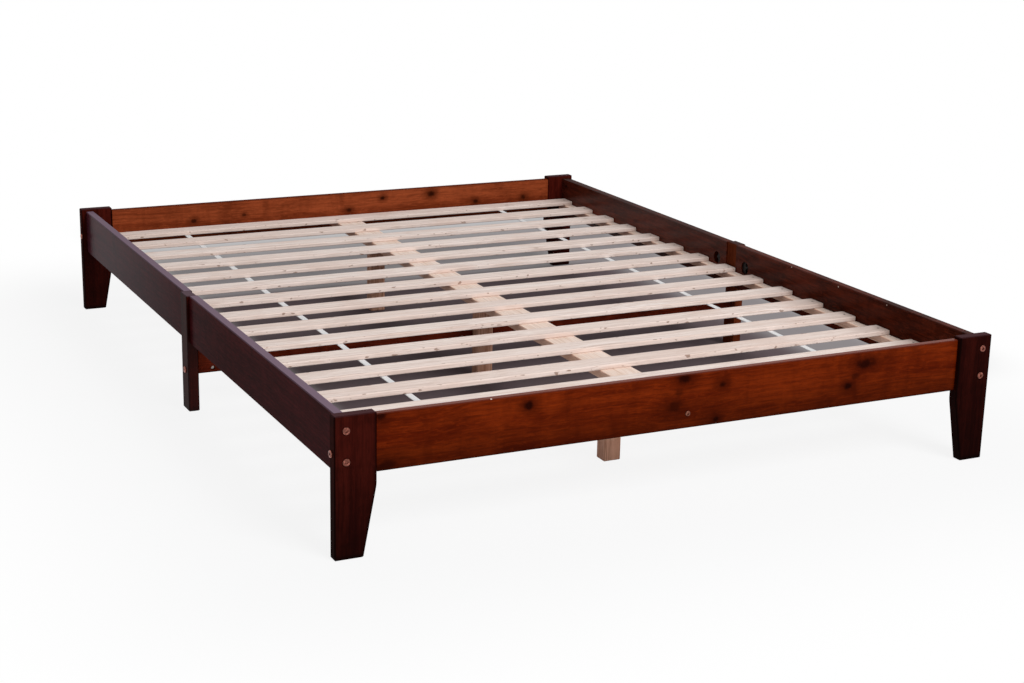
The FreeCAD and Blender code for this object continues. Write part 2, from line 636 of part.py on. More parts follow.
half_moon = cut("half_moon", half_moon_blank, [thread_bore])
group("half_moon_washers", all_corners([half_moon]))
stud_nut_blank = doc.addObject("Part::Prism", "stud_nut_blank")
stud_nut_blank.Polygon = 6
bind(stud_nut_blank, Circumradius=f"{cell.stud_nut_width} / 2", Height=cell.stud_nut_height)
place(stud_nut_blank, (f"-{side_middle}", f"-{pocket_y}", stud_height), TURN["-y"])
stud_nut = cut("stud_nut", stud_nut_blank, [thread_bore])
group("stud_nuts", all_corners([stud_nut]))

# Slat rows of the front half, counted from the middle of the bed
slat_count = int(amount(cell.slat_count))
has_middle_slat = slat_count % 2 == 1
first_row = 1 if has_middle_slat else 0.5
row_steps = [first_row + step for step in range(slat_count // 2)]

# Screws of the front left slat ends and of the front left ledge
row_screws = []
row_screw_bores = []
for step in row_steps:
    spot = (f"-{slat_screw_x}", f"-{step} * {slat_pitch}", f"({seat} + {cell.slat_thickness})")
    title = f"slat_screw_{len(row_screws) + 1}"
    row_screws.append(wood_screw(title, spot, "+z", cell.slat_screw_length))
    row_screw_bores += screw_bores(title, spot, "+z", cell.slat_screw_length)
row_screw_sets = all_corners([fused("row_screws", row_screws)])

middle_screws = []
middle_screw_bores = []
if has_middle_slat:
    spot = (f"-{slat_screw_x}", f"-{cell.middle_screw_shift}", f"({seat} + {cell.slat_thickness})")
    middle_screws = both_sides([wood_screw("slat_screw_middle", spot, "+z", cell.slat_screw_length)], "X")
    middle_screw_bores = screw_bores("slat_screw_middle", spot, "+z", cell.slat_screw_length)
group("slat_screws", row_screw_sets + middle_screws)

ledge_screws = []
ledge_screw_bores = []
for step in row_steps[::2]:
    between = f"-({step} + 0.5) * {slat_pitch}" if step != row_steps[-1] else f"-({step} - 0.5) * {slat_pitch}"
    spot = (f"-{ledge_inner}", between, ledge_middle)
    title = f"ledge_screw_{len(ledge_screws) + 1}"
    ledge_screws.append(wood_screw(title, spot, "+x", cell.ledge_screw_length))
    ledge_screw_bores += screw_bores(title, spot, "+x", cell.ledge_screw_length)
group("ledge_screws", all_corners([fused("ledge_screw_row", ledge_screws)]))

# Side rails, in two halves a side
side_rail_blank = board(
    "side_rail_blank", "Y", (f"-{side_outer}", f"-{post_back}", rail_bottom),
    (cell.side_rail_thickness, side_rail_length, cell.rail_height), cell.edge_bevel, draw_bevelled)
side_rail_bores += mid_dowel_bores + ledge_screw_bores + [stud_bore, pocket]
side_rail = node(cut("side_rail", side_rail_blank, side_rail_bores), "side_rail_left_front")
side_rail_right = node(mirrored(side_rail, "X"), "side_rail_right_front")
node(mirrored(side_rail, "Y"), "side_rail_left_rear")
node(mirrored(side_rail_right, "Y"), "side_rail_right_rear")

# Ledges under the slat ends; each reaches past its rail to the middle of the leg
ledge_length = f"({ledge_end} - {cell.ledge_joint_gap} / 2)"
ledge_blank = board(
    "ledge_blank", "Y", (f"-{side_inner}", f"-{ledge_end}", ledge_bottom),
    (cell.ledge_width, ledge_length, cell.ledge_height), cell.pine_bevel, draw_bevelled)
ledge_plain = cut("ledge_plain", ledge_blank, row_screw_bores + ledge_screw_bores)
ledge = cut("ledge", ledge_plain, middle_screw_bores) if has_middle_slat else ledge_plain
node(ledge, "slat_ledge_left_front")
node(mirrored(ledge, "X"), "slat_ledge_right_front")
ledge_rear = node(mirrored(ledge_plain, "Y"), "slat_ledge_left_rear")
node(mirrored(ledge_rear, "X"), "slat_ledge_right_rear")

# Cross beam between the middle side legs, low down behind the middle centre leg
cross_bolt_z = f"({cell.cross_beam_clearance} + {cell.cross_bolt_rise})"
cross_bolt_seat = (f"-{mid_leg_outer}", "0", cross_bolt_z)
mid_leg_thickness = f"({mid_leg_outer} - {mid_leg_inner})"
cross_bolt_length = f"({mid_leg_thickness} + {cell.cross_nut_setback} + {cell.bolt_tip})"
cross_bolt = connector_bolt("cross_bolt", cross_bolt_seat, "-x", cross_bolt_length, cell.bolt_head_diameter)
cross_bolt_bore = bolt_bore("cross_bolt_bore", cross_bolt_seat, "-x", f"({cross_bolt_length} + {cell.bolt_tip})")
cross_nut_x = f"({mid_leg_inner} - {cell.cross_nut_setback})"
cross_nut, cross_nut_bore = barrel_nut(
    "cross_nut", (f"-{cross_nut_x}", f"-{cross_half}", cross_bolt_z), "-y", cross_half,
    (f"-{cross_nut_x}", "0", cross_bolt_z), "-x")
cross_dowel, cross_dowel_bore = dowel(
    "cross_dowel", (f"-{mid_leg_inner}", "0", f"({cell.cross_beam_clearance} + {cell.cross_dowel_rise})"), "+x",
    cell.cross_dowel_length)
node(cross_bolt, "cross_beam_bolt_left")
node(mirrored(cross_bolt, "X"), "cross_beam_bolt_right")
group("cross_beam_barrel_nuts", both_sides([cross_nut], "X"))

# Screws that hold the rear half of the centre beam, and the cross beam, to the middle centre leg
middle_leg_screws = []
beam_screw_bores = []
cross_screw_bores = []
for name, side in (("left", "-"), ("right", "+")):
    screw_x = f"(-{cell.centre_leg_offset} {side} {cell.beam_screw_spread})"
    spot = (screw_x, f"({beam_joint} + {cell.beam_screw_inset})", seat)
    middle_leg_screws.append(wood_screw(f"beam_screw_{name}", spot, "+z", cell.beam_screw_length))
    beam_screw_bores += screw_bores(f"beam_screw_{name}", spot, "+z", cell.beam_screw_length)
    spot = (screw_x, cross_half, f"({cell.cross_beam_clearance} + {cell.cross_screw_rise})")
    middle_leg_screws.append(wood_screw(f"cross_screw_{name}", spot, "+y", cell.cross_screw_length))
    cross_screw_bores += screw_bores(f"cross_screw_{name}", spot, "+y", cell.cross_screw_length)
group("centre_beam_screws", middle_leg_screws)

cross_blank = board(
    "cross_blank", "X", (f"-{mid_leg_inner}", f"-{cross_half}", cell.cross_beam_clearance),
    (f"2 * {mid_leg_inner}", cell.cross_beam_thickness, cell.cross_beam_height), cell.edge_bevel, draw_bevelled)
cross_bores = both_sides([cross_bolt_bore, cross_nut_bore, cross_dowel_bore], "X")
node(cut("cross", cross_blank, cross_bores + cross_screw_bores), "cross_beam")

mid_leg_blank = bevelled_leg(
    "mid_leg_blank", (f"-{mid_leg_outer}", f"-{mid_leg_half}", "0"),
    mid_leg_thickness, cell.mid_leg_width, mid_leg_top)
mid_leg_bores = both_sides(mid_dowel_bores, "Y") + [stud_bore, cross_bolt_bore, cross_dowel_bore]
mid_leg = node(cut("mid_leg", mid_leg_blank, mid_leg_bores), "mid_leg_left")
node(mirrored(mid_leg, "X"), "mid_leg_right")
group("wood_dowels", all_corners(dowels) + both_sides([cross_dowel], "X"))

# Centre legs, each with a hanger bolt up into the beam
half_depth = f"({cell.centre_leg_depth} / 2)"
leg_places = {
    "front": (f"(-{cell.centre_leg_spread} - {half_depth})", half_depth),
    "middle": (middle_leg_front, cell.leg_bolt_inset),
    "rear": (f"({cell.centre_leg_spread} - {half_depth})", half_depth),
}
leg_bolts = []
leg_bolt_bores = {}
hanger_length = f"({cell.leg_bolt_reach} + {cell.leg_bolt_rise})"
for name, (leg_front, bolt_inset) in leg_places.items():
    leg_blank = bevelled_leg(
        f"leg_blank_{name}", (leg_left, leg_front, "0"), cell.centre_leg_width, cell.centre_leg_depth, beam_bottom)
    foot = (f"-{cell.centre_leg_offset}", f"({leg_front} + {bolt_inset})", f"({beam_bottom} - {cell.leg_bolt_reach})")
    leg_bolts.append(pin(f"hanger_{name}", foot, "+z", f"{cell.leg_bolt_diameter} / 2", hanger_length))
    leg_bolt_bores[name] = pin(f"hanger_bore_{name}", foot, "+z", f"{cell.leg_bolt_diameter} / 2 + {cell.fit_gap}",
                               hanger_length)
    leg_bores = [leg_bolt_bores[name]]
    if name == "middle":
        leg_bores += beam_screw_bores + cross_screw_bores
    node(cut(f"leg_{name}", leg_blank, leg_bores), f"centre_leg_{name}")
group("centre_leg_bolts", leg_bolts)

# Centre beam in two halves that meet over the middle leg
beam_left = f"(-{cell.beam_width} / 2)"
beam_front_blank = board(
    "beam_front_blank", "Y", (beam_left, f"-{end_inner}", beam_bottom),
    (cell.beam_width, f"({end_inner} + {beam_joint})", cell.beam_height), cell.pine_bevel, draw_bevelled)
beam_rear_blank = board(
    "beam_rear_blank", "Y", (beam_left, beam_joint, beam_bottom),
    (cell.beam_width, f"({end_inner} - {beam_joint})", cell.beam_height), cell.pine_bevel, draw_bevelled)
beam_end_bores = [beam_bolt_bore, beam_nut_bore]
beam_front_bores = beam_end_bores + [leg_bolt_bores["front"], leg_bolt_bores["middle"]]
beam_rear_bores = [mirrored(bore, "Y") for bore in beam_end_bores] + [leg_bolt_bores["rear"]] + beam_screw_bores
node(cut("beam_front", beam_front_blank, beam_front_bores), "centre_beam_front")
node(cut("beam_rear", beam_rear_blank, beam_rear_bores), "centre_beam_rear")

# Slats, counted from the front end
for index in range(slat_count):
    row = index - (slat_count - 1) / 2
    slat_y = f"({row} * {slat_pitch})"
    blank = board(
        f"slat_blank_{index + 1}", "X", (f"-{slat_half}", f"{slat_y} - {cell.slat_width} / 2", seat),
        (f"2 * {slat_half}", cell.slat_width, cell.slat_thickness), cell.slat_round)
    screw_y = slat_y if row else f"-{cell.middle_screw_shift}"
    spot = (f"-{slat_screw_x}", screw_y, f"({seat} + {cell.slat_thickness})")
    bores = both_sides(screw_bores(f"slat_bore_{index + 1}", spot, "+z", cell.slat_screw_length), "X")
    node(cut(f"slat_{index + 1}", blank, bores), f"slat_{index + 1:02d}")

# Webbing straps under the slats
strap_half = f"(({cell.slat_count} - 1) / 2 * {slat_pitch} + {cell.strap_overhang})"
strap = doc.addObject("Part::Box", "strap")
bind(strap, Length=cell.strap_width, Width=f"2 * {strap_half}", Height=cell.strap_thickness)
place(strap, (f"-{cell.strap_spread} - {cell.strap_width} / 2", f"-{strap_half}", f"{seat} - {cell.strap_thickness}"))
node(strap, "webbing_strap_left")
node(mirrored(strap, "X"), "webbing_strap_right")

doc.recompute()
for thing in doc.Objects:
    if "Invalid" in thing.State or "Error" in thing.State:
        raise RuntimeError(f"{thing.Label} failed: {thing.State}")
for thing in NODES:
    if thing.Shape.isNull() or not thing.Shape.isValid() or not thing.Shape.Solids:
        raise RuntimeError(f"{thing.Label} has no valid solid")

os.makedirs("parts", exist_ok=True)
for thing in NODES:
    thing.Shape.exportStep(f"parts/{thing.Label}.step")
print(f"{len(NODES)} sub-parts written")
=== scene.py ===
"""Dresses the bed base: stained and raw timber, straps, staples, bolt heads and a studio stage."""

import json
import math

import bpy
import numpy as np
from bpy.props import FloatProperty, FloatVectorProperty, IntProperty, PointerProperty
from bpy.types import Operator, Panel, PropertyGroup
from mathutils import Matrix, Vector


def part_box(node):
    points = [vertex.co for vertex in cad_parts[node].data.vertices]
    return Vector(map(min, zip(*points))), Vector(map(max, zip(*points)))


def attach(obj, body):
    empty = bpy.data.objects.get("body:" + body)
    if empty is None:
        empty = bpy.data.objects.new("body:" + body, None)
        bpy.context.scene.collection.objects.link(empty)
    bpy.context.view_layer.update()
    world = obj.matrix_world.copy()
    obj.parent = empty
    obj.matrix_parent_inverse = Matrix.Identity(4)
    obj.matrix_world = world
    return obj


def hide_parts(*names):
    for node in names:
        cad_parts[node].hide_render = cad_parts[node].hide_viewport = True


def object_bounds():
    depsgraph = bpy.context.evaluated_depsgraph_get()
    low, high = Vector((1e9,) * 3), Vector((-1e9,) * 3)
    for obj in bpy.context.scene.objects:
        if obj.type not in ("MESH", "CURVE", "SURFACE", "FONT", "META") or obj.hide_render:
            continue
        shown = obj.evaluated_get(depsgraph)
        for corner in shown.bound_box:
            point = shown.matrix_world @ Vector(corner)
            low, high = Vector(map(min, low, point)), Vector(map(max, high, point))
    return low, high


bl_info = {
    "name": "Bed Base Dresser",
    "version": (1, 0, 0),
    "blender": (4, 5, 0),
    "location": "3D View > Sidebar > Bed Base",
    "description": "Gives a slatted bed base its stains, pine, straps, fasteners and a studio stage",
    "category": "Object",
}

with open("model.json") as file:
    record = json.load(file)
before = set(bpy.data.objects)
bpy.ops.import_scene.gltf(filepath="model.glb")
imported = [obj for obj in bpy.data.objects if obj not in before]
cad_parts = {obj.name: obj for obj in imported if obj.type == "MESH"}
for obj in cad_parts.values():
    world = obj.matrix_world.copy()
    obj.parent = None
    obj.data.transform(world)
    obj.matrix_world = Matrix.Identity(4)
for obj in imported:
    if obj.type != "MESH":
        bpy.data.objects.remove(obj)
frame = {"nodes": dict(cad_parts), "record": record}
CAD_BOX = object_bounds()
NODES = frame["nodes"]
SLOT_OF = {entry["node"]: entry["material_slot"] for entry in frame["record"]["subparts"]}
SLATS = sorted(name for name in NODES if name.startswith("slat_") and name[5:].isdigit())
FIRST_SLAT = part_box(SLATS[0])
LAST_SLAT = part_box(SLATS[-1])
SLAT_PITCH = (LAST_SLAT[0][1] - FIRST_SLAT[0][1]) / (len(SLATS) - 1)
SLAT_HALF = (FIRST_SLAT[1][1] - FIRST_SLAT[0][1]) / 2
SLAT_MIDDLE = FIRST_SLAT[0][1] + SLAT_HALF


# Settings

def tint(name, description, default):
    """Colour setting."""
    return FloatVectorProperty(
        name=name, description=description, subtype="COLOR", size=3, min=0, max=1, default=default)


def length(name, description, default, least):
    """Length setting in metres."""
    return FloatProperty(name=name, description=description, default=default, min=least, unit="LENGTH")


class BedStageSettings(PropertyGroup):
    """Floor, lamp and the photograph's camera."""

    floor_colour: tint("Floor", "Pale studio floor", (0.62, 0.62, 0.63))
    shade_colour: tint("Floor shade", "Floor in the deep shade under the slats", (0.145, 0.112, 0.12))
    ambient: FloatProperty(name="Ambient", description="Light from all round", default=0.36, min=0)
    key_power: FloatProperty(
        name="Key lamp", description="Soft lamp in front and above", default=815.0, min=0, unit="POWER")
    lens: FloatProperty(
        name="Lens", description="Focal length on a 36 mm sensor", default=64.48, min=1,
        subtype="DISTANCE_CAMERA")


class BedStainSettings(PropertyGroup):
    """Stain tones of the outer frame."""

    front_dark: tint("Front rail, dark", "Late wood of the front rail", (0.081, 0.0068, 0.0008))
    front_light: tint("Front rail, light", "Early wood of the front rail", (0.162, 0.0192, 0.0022))
    rear_dark: tint("Rear rail, dark", "Late wood of the rear rail", (0.155, 0.0245, 0.0068))
    rear_light: tint("Rear rail, light", "Early wood of the rear rail", (0.28, 0.058, 0.019))
    cross_dark: tint("Cross beam, dark", "Late wood of the cross beam", (0.085, 0.0095, 0.0035))
    cross_light: tint("Cross beam, light", "Early wood of the cross beam", (0.155, 0.021, 0.008))
    post_dark: tint("Post, dark", "Dark streaks of the posts", (0.022, 0.0022, 0.0013))
    post_light: tint("Post, light", "Red streaks of the posts", (0.046, 0.0052, 0.003))
    left_dark: tint("Left rails, dark", "Dark streaks of the left rails", (0.038, 0.0045, 0.005))
    left_light: tint("Left rails, light", "Light streaks of the left rails", (0.075, 0.009, 0.01))
    right_dark: tint("Right rails, dark", "Dark streaks of the right rails", (0.03, 0.0042, 0.0016))
    right_light: tint("Right rails, light", "Light streaks of the right rails", (0.128, 0.019, 0.0068))


class BedPineSettings(PropertyGroup):
    """Unfinished timber of the slats, beam, legs and ledges."""

    slat_pale: tint("Slat, pale", "Early wood of the slats", (0.95, 0.845, 0.79))
    slat_warm: tint("Slat, warm", "Late wood of the slats", (0.73, 0.56, 0.485))
    beam_pale: tint("Beam, pale", "Early wood of the beam and ledges", (0.92, 0.79, 0.72))
    beam_warm: tint("Beam, warm", "Late wood of the beam and ledges", (0.76, 0.55, 0.43))
    leg_pale: tint("Leg, pale", "Early wood of the centre legs", (0.76, 0.44, 0.31))
    leg_warm: tint("Leg, warm", "Late wood of the centre legs", (0.4, 0.17, 0.1))


class BedStrapSettings(PropertyGroup):
    """Webbing under the slats."""

    colour: tint("Webbing", "Woven tape", (0.86, 0.86, 0.87))
    sag: length("Sag", "Dip of the tape between two slats", 0.0008, 0.0)
    wander: length("Wander", "Sideways drift of the tape", 0.0012, 0.0)
    staple_wire: length("Staple wire", "Thickness of a staple", 0.0009, 0.0001)
    staple_crown: length("Staple crown", "Width of a staple", 0.0096, 0.001)


class BedBoltSettings(PropertyGroup):
    """Shown heads of the frame bolts."""

    metal: tint("Bolt metal", "Bronze coating of the frame bolts", (0.19, 0.068, 0.05))
    beam_metal: tint("Beam bolt metal", "Browner coating of the centre beam bolts", (0.16, 0.064, 0.043))
    rim: length("Rim", "Rounding of a bolt head's rim", 0.0022, 0.0001)
    socket: length("Socket", "Hexagon socket, centre to corner", 0.0034, 0.0005)
    socket_depth: length("Socket depth", "Depth of the hexagon socket", 0.0024, 0.0002)
    sides: IntProperty(name="Sides", description="Steps round a bolt head", default=48, min=12, max=96)


# Meshes from arrays

def surface_arrays(points, wrap_across):
    """Quads of a grid of points: rows follow the first parameter, and the second may close on itself."""
    rows, columns = points.shape[:2]
    index = np.arange(rows * columns).reshape(rows, columns)
    right = np.roll(index, -1, axis=1)
    if not wrap_across:
        index = index[:, :-1]
        right = right[:, :-1]
    quads = np.stack([index[:-1], right[:-1], right[1:], index[1:]], axis=-1).reshape(-1, 4)
    return points.reshape(-1, 3), quads


def closed_tube_arrays(rings):
    """Grid of rings whose first and last ring are each filled by one face, so the surface is closed."""
    points, quads = surface_arrays(rings, True)
    columns = rings.shape[1]
    last = len(points) - columns
    first_cap = np.arange(columns)[::-1]
    last_cap = np.arange(columns) + last
    return points, quads, [first_cap, last_cap]


def mesh_object(name, points, faces, material, smooth=True):
    """Object at the origin from arrays of points and faces, with one material."""
    mesh = bpy.data.meshes.new(name)
    mesh.from_pydata(points, [], [list(map(int, face)) for face in faces])
    mesh.materials.append(material)
    mesh.polygons.foreach_set("use_smooth", np.full(len(mesh.polygons), smooth))
    mesh.update()
    piece = bpy.data.objects.new(name, mesh)
    bpy.context.scene.collection.objects.link(piece)
    return piece


def joined_tubes(tubes):
    """Points and faces of many closed tubes as one mesh."""
    points = []
    faces = []
    offset = 0
    for rings in tubes:
        tube_points, quads, caps = closed_tube_arrays(rings)
        points.append(tube_points)
        faces += [quad + offset for quad in quads]
        faces += [cap + offset for cap in caps]
        offset += len(tube_points)
    return np.concatenate(points), faces


# Node trees

class Finish:
    """A material's node tree, built from short calls. Inputs are sockets, numbers or tuples."""

    def __init__(self, name, roughness=0.5, specular=0.5):
        self.material = bpy.data.materials.new(name)
        self.material.use_nodes = True
        self.tree = self.material.node_tree
        self.shader = self.tree.nodes["Principled BSDF"]
        self.shader.inputs["Roughness"].default_value = roughness
        self.shader.inputs["Specular IOR Level"].default_value = specular
        self.place = self.node("ShaderNodeTexCoord").outputs["Object"]
        self.axes = self.parts(self.place)

    def node(self, kind, **settings):
        made = self.tree.nodes.new(kind)
        for name, value in settings.items():
            setattr(made, name, value)
        return made

    def feed(self, socket, value):
        if isinstance(value, bpy.types.NodeSocket):
            self.tree.links.new(value, socket)
        else:
            socket.default_value = value

    def parts(self, vector):
        """A vector's sockets, axis by axis."""
        split = self.node("ShaderNodeSeparateXYZ")
        self.feed(split.inputs[0], vector)
        return dict(zip("XYZ", split.outputs))

    def vector(self, x, y, z):
        made = self.node("ShaderNodeCombineXYZ")
        for socket, value in zip(made.inputs, (x, y, z)):
            self.feed(socket, value)
        return made.outputs[0]

    def math(self, operation, *values):
        made = self.node("ShaderNodeMath", operation=operation)
        for socket, value in zip(made.inputs, values):
            self.feed(socket, value)
        return made.outputs[0]

    def times(self, first, second):
        return self.math("MULTIPLY", first, second)

    def plus(self, first, second):
        return self.math("ADD", first, second)

    def minus(self, first, second):
        return self.math("SUBTRACT", first, second)

    def size(self, value):
        return self.math("ABSOLUTE", value)

    def largest(self, first, *others):
        for other in others:
            first = self.math("MAXIMUM", first, other)
        return first

    def noise(self, vector, scale=1.0, detail=3.0, roughness=0.55, distortion=0.0):
        made = self.node("ShaderNodeTexNoise")
        entries = {"Vector": vector, "Scale": scale, "Detail": detail, "Roughness": roughness,
                   "Distortion": distortion}
        for name, value in entries.items():
            self.feed(made.inputs[name], value)
        return made.outputs["Fac"]

    def step(self, value, low, high, bottom=0.0, top=1.0):
        """Smooth step of a value from bottom at low to top at high."""
        made = self.node("ShaderNodeMapRange", interpolation_type="SMOOTHSTEP")
        entries = {"Value": value, "From Min": low, "From Max": high, "To Min": bottom, "To Max": top}
        for name, entry in entries.items():
            self.feed(made.inputs[name], entry)
        return made.outputs["Result"]

    def blend(self, factor, first, second, kind="MIX"):
        made = self.node("ShaderNodeMix", data_type="RGBA", blend_type=kind)
        sockets = {socket.identifier: socket for socket in made.inputs}
        self.feed(sockets["Factor_Float"], factor)
        for key, value in (("A_Color", first), ("B_Color", second)):
            if isinstance(value, bpy.types.NodeSocket):
                self.feed(sockets[key], value)
            else:
                sockets[key].default_value = (*value[:3], 1.0)
        return next(socket for socket in made.outputs if socket.identifier == "Result_Color")

    def layer(self, base, field, low, high, share, tone):
        """A tone over a base: none where the field is at low, and the given share where it is at high."""
        return self.blend(self.step(field, low, high, 0.0, share), base, tone)

    def bump(self, height, strength, distance):
        made = self.node("ShaderNodeBump")
        made.inputs["Strength"].default_value = strength
        made.inputs["Distance"].default_value = distance
        self.feed(made.inputs["Height"], height)
        self.feed(self.shader.inputs["Normal"], made.outputs["Normal"])

    def set(self, **values):
        for name, value in values.items():
            self.feed(self.shader.inputs[name.replace("_", " ")], value)

    def normals(self):
        """Object-space normal, axis by axis."""
        return self.parts(self.node("ShaderNodeTexCoord").outputs["Normal"])

    def facing_up(self):
        """1 on level faces that look up, 0 on upright ones."""
        return self.step(self.normals()["Z"], 0.55, 0.95)

    def arris(self):
        """1 on bevelled corners, whose normal lies between the axes, and 0 on flat faces."""
        return self.step(self.largest(*(self.size(part) for part in self.normals().values())), 0.97, 0.8)


def scaled(colour, factor):
    """Colour times a number."""
    return tuple(factor * part for part in colour)


# Timber

# Each field's stretch along and across the grain, then the detail and roughness of its noise
GRAIN_FIELDS = {
    "streak": (0.9, 26.0, 4.0, 0.6),
    "ring": (1.6, 120.0, 3.0, 0.55),
    "line": (6.0, 300.0, 2.0, 0.5),
    "pore": (30.0, 1300.0, 2.0, 0.5),
    "mottle": (7.0, 9.0, 3.0, 0.55),
}

# Layers of the stain: field, where it starts and is full, share, tone and the factor on that tone
STAIN_LAYERS = (
    ("ring", 0.47, 0.68, 0.42, "dark", 0.7),
    ("line", 0.5, 0.72, 0.38, "dark", 0.55),
    ("line", 0.48, 0.3, 0.3, "light", 1.35),
    ("mottle", 0.48, 0.74, 0.5, "dark", 0.62),
    ("mottle", 0.46, 0.28, 0.35, "light", 1.25),
    ("cloud", 0.48, 0.72, 0.42, "dark", 0.6),
    ("flame", 0.5, 0.7, 0.34, "dark", 0.55),
    ("flame", 0.5, 0.32, 0.34, "light", 1.3),
    ("chatter", 0.5, 0.78, 0.16, "dark", 1.0),
    ("pore", 0.56, 0.72, 0.4, "dark", 0.45),
)

# Layers of the raw boards: field, where it starts and is full, share, and the factor on the warm tone
PINE_LAYERS = (
    ("streak", 0.3, 0.72, 0.55, 1.0),
    ("ring", 0.48, 0.68, 0.5, 1.0),
    ("line", 0.46, 0.7, 0.7, 0.82),
    ("mottle", 0.5, 0.72, 0.55, 1.0),
    ("board", 0.0, 1.0, 0.2, 1.0),
    ("pore", 0.55, 0.75, 0.42, 0.5),
)

# Marks on the stain, and a painted shade along the lower edge: share, and the factor on the dark tone
STAIN_MARKS = {
    "knot_halo": (0.72, 0.42),
    "knot_core": (0.92, 0.12),
    "painted_lower_shade": (0.45, 0.25),
    "corner": (0.55, 0.35),
    "rim": (0.8, 0.12),
}
# Heights above the low end of the downward painted shade where the painted shade along the lower edge starts
# and is full
LOWER_SHADE_HEIGHTS = (0.016, 0.004)
BARE_WOOD = (0.62, 0.5, 0.44)

DRIFT_SCALE = 3.2
DRIFT_WIDTH = 0.035

# Knots of the stained boards: scale of their uneven outline, and where core and halo start and are full
KNOT_WOBBLE = 70.0
KNOT_CORE = (1.0, 0.3)
KNOT_HALO = (2.6, 0.6)

# Knots and bark specks of the raw boards: cells along and across the grain, and where each starts and is full
PINE_CELLS = (9.0, 15.0)
PINE_KNOT = (0.11, 0.03)
PINE_KNOT_RING = (0.36, 0.08)
BARK_CELLS = (55.0, 120.0)
BARK_SPECK = (0.67, 0.75)
BOARD_EDGE = (0.62, 0.92)
KNOT_BROWN = (0.2, 0.11, 0.07)
BARK_BROWN = (0.24, 0.13, 0.09)
# Painted shade on the side faces of boards that run along Y
SIDE_SHADE = (0.95, 0.78, 0.7)


def grain(finish, along, seed=0.0):
    """Timber fields from coordinates that are stretched along the grain and drift slowly across it."""
    first, second = (finish.axes[axis] for axis in "XYZ" if axis != along)
    shifted = finish.plus(finish.axes[along], seed)
    drift = finish.noise(finish.vector(shifted, first, second), scale=DRIFT_SCALE, detail=2.0)
    spread = finish.math("MULTIPLY_ADD", drift, DRIFT_WIDTH, seed)
    wide = finish.plus(first, spread)
    deep = finish.plus(second, spread)
    fields = {}
    for name, (run, fine, detail, roughness) in GRAIN_FIELDS.items():
        stretched = finish.vector(
            finish.times(shifted, run), finish.times(wide, fine), finish.times(deep, fine))
        fields[name] = finish.noise(stretched, detail=detail, roughness=roughness)
    return fields


def face_noise(finish, along, up, run, rise, shift, **shape):
    """Noise on a board's face, with one stretch along the grain, another up the face, and a shift."""
    place = finish.math("MULTIPLY_ADD", finish.axes[along], run, shift)
    return finish.noise(finish.vector(place, finish.times(finish.axes[up], rise), shift), **shape)


def knots(finish, along, up, spots):
    """Dark knots: each is 1 inside an uneven ellipse, longer along the grain, with a wider soft halo.

    A spot is its place along and up the board, its reach, its strength and its stretch along the grain.
    """
    core = 0.0
    halo = 0.0
    wobble = finish.minus(finish.noise(finish.place, scale=KNOT_WOBBLE, detail=2.0), 0.5)
    for middle, height, reach, strength, stretch in spots:
        run = finish.math("DIVIDE", finish.minus(finish.axes[along], middle), reach * stretch)
        rise = finish.math("DIVIDE", finish.minus(finish.axes[up], height), reach)
        square = finish.math("MULTIPLY_ADD", rise, rise, finish.times(run, run))
        distance = finish.plus(wobble, finish.math("SQRT", square))
        core = finish.largest(core, finish.step(distance, *KNOT_CORE, 0.0, strength))
        halo = finish.largest(halo, finish.step(distance, *KNOT_HALO, 0.0, strength))
    return core, halo


def nicks(finish, spots):
    """Chips in the stain: 1 inside small balls, each given by its point and its reach."""
    mark = 0.0
    for *point, reach in spots:
        gap = finish.node("ShaderNodeVectorMath", operation="DISTANCE")
        finish.feed(gap.inputs[0], finish.place)
        gap.inputs[1].default_value = point
        mark = finish.largest(mark, finish.step(gap.outputs["Value"], reach, 0.6 * reach))
    return mark


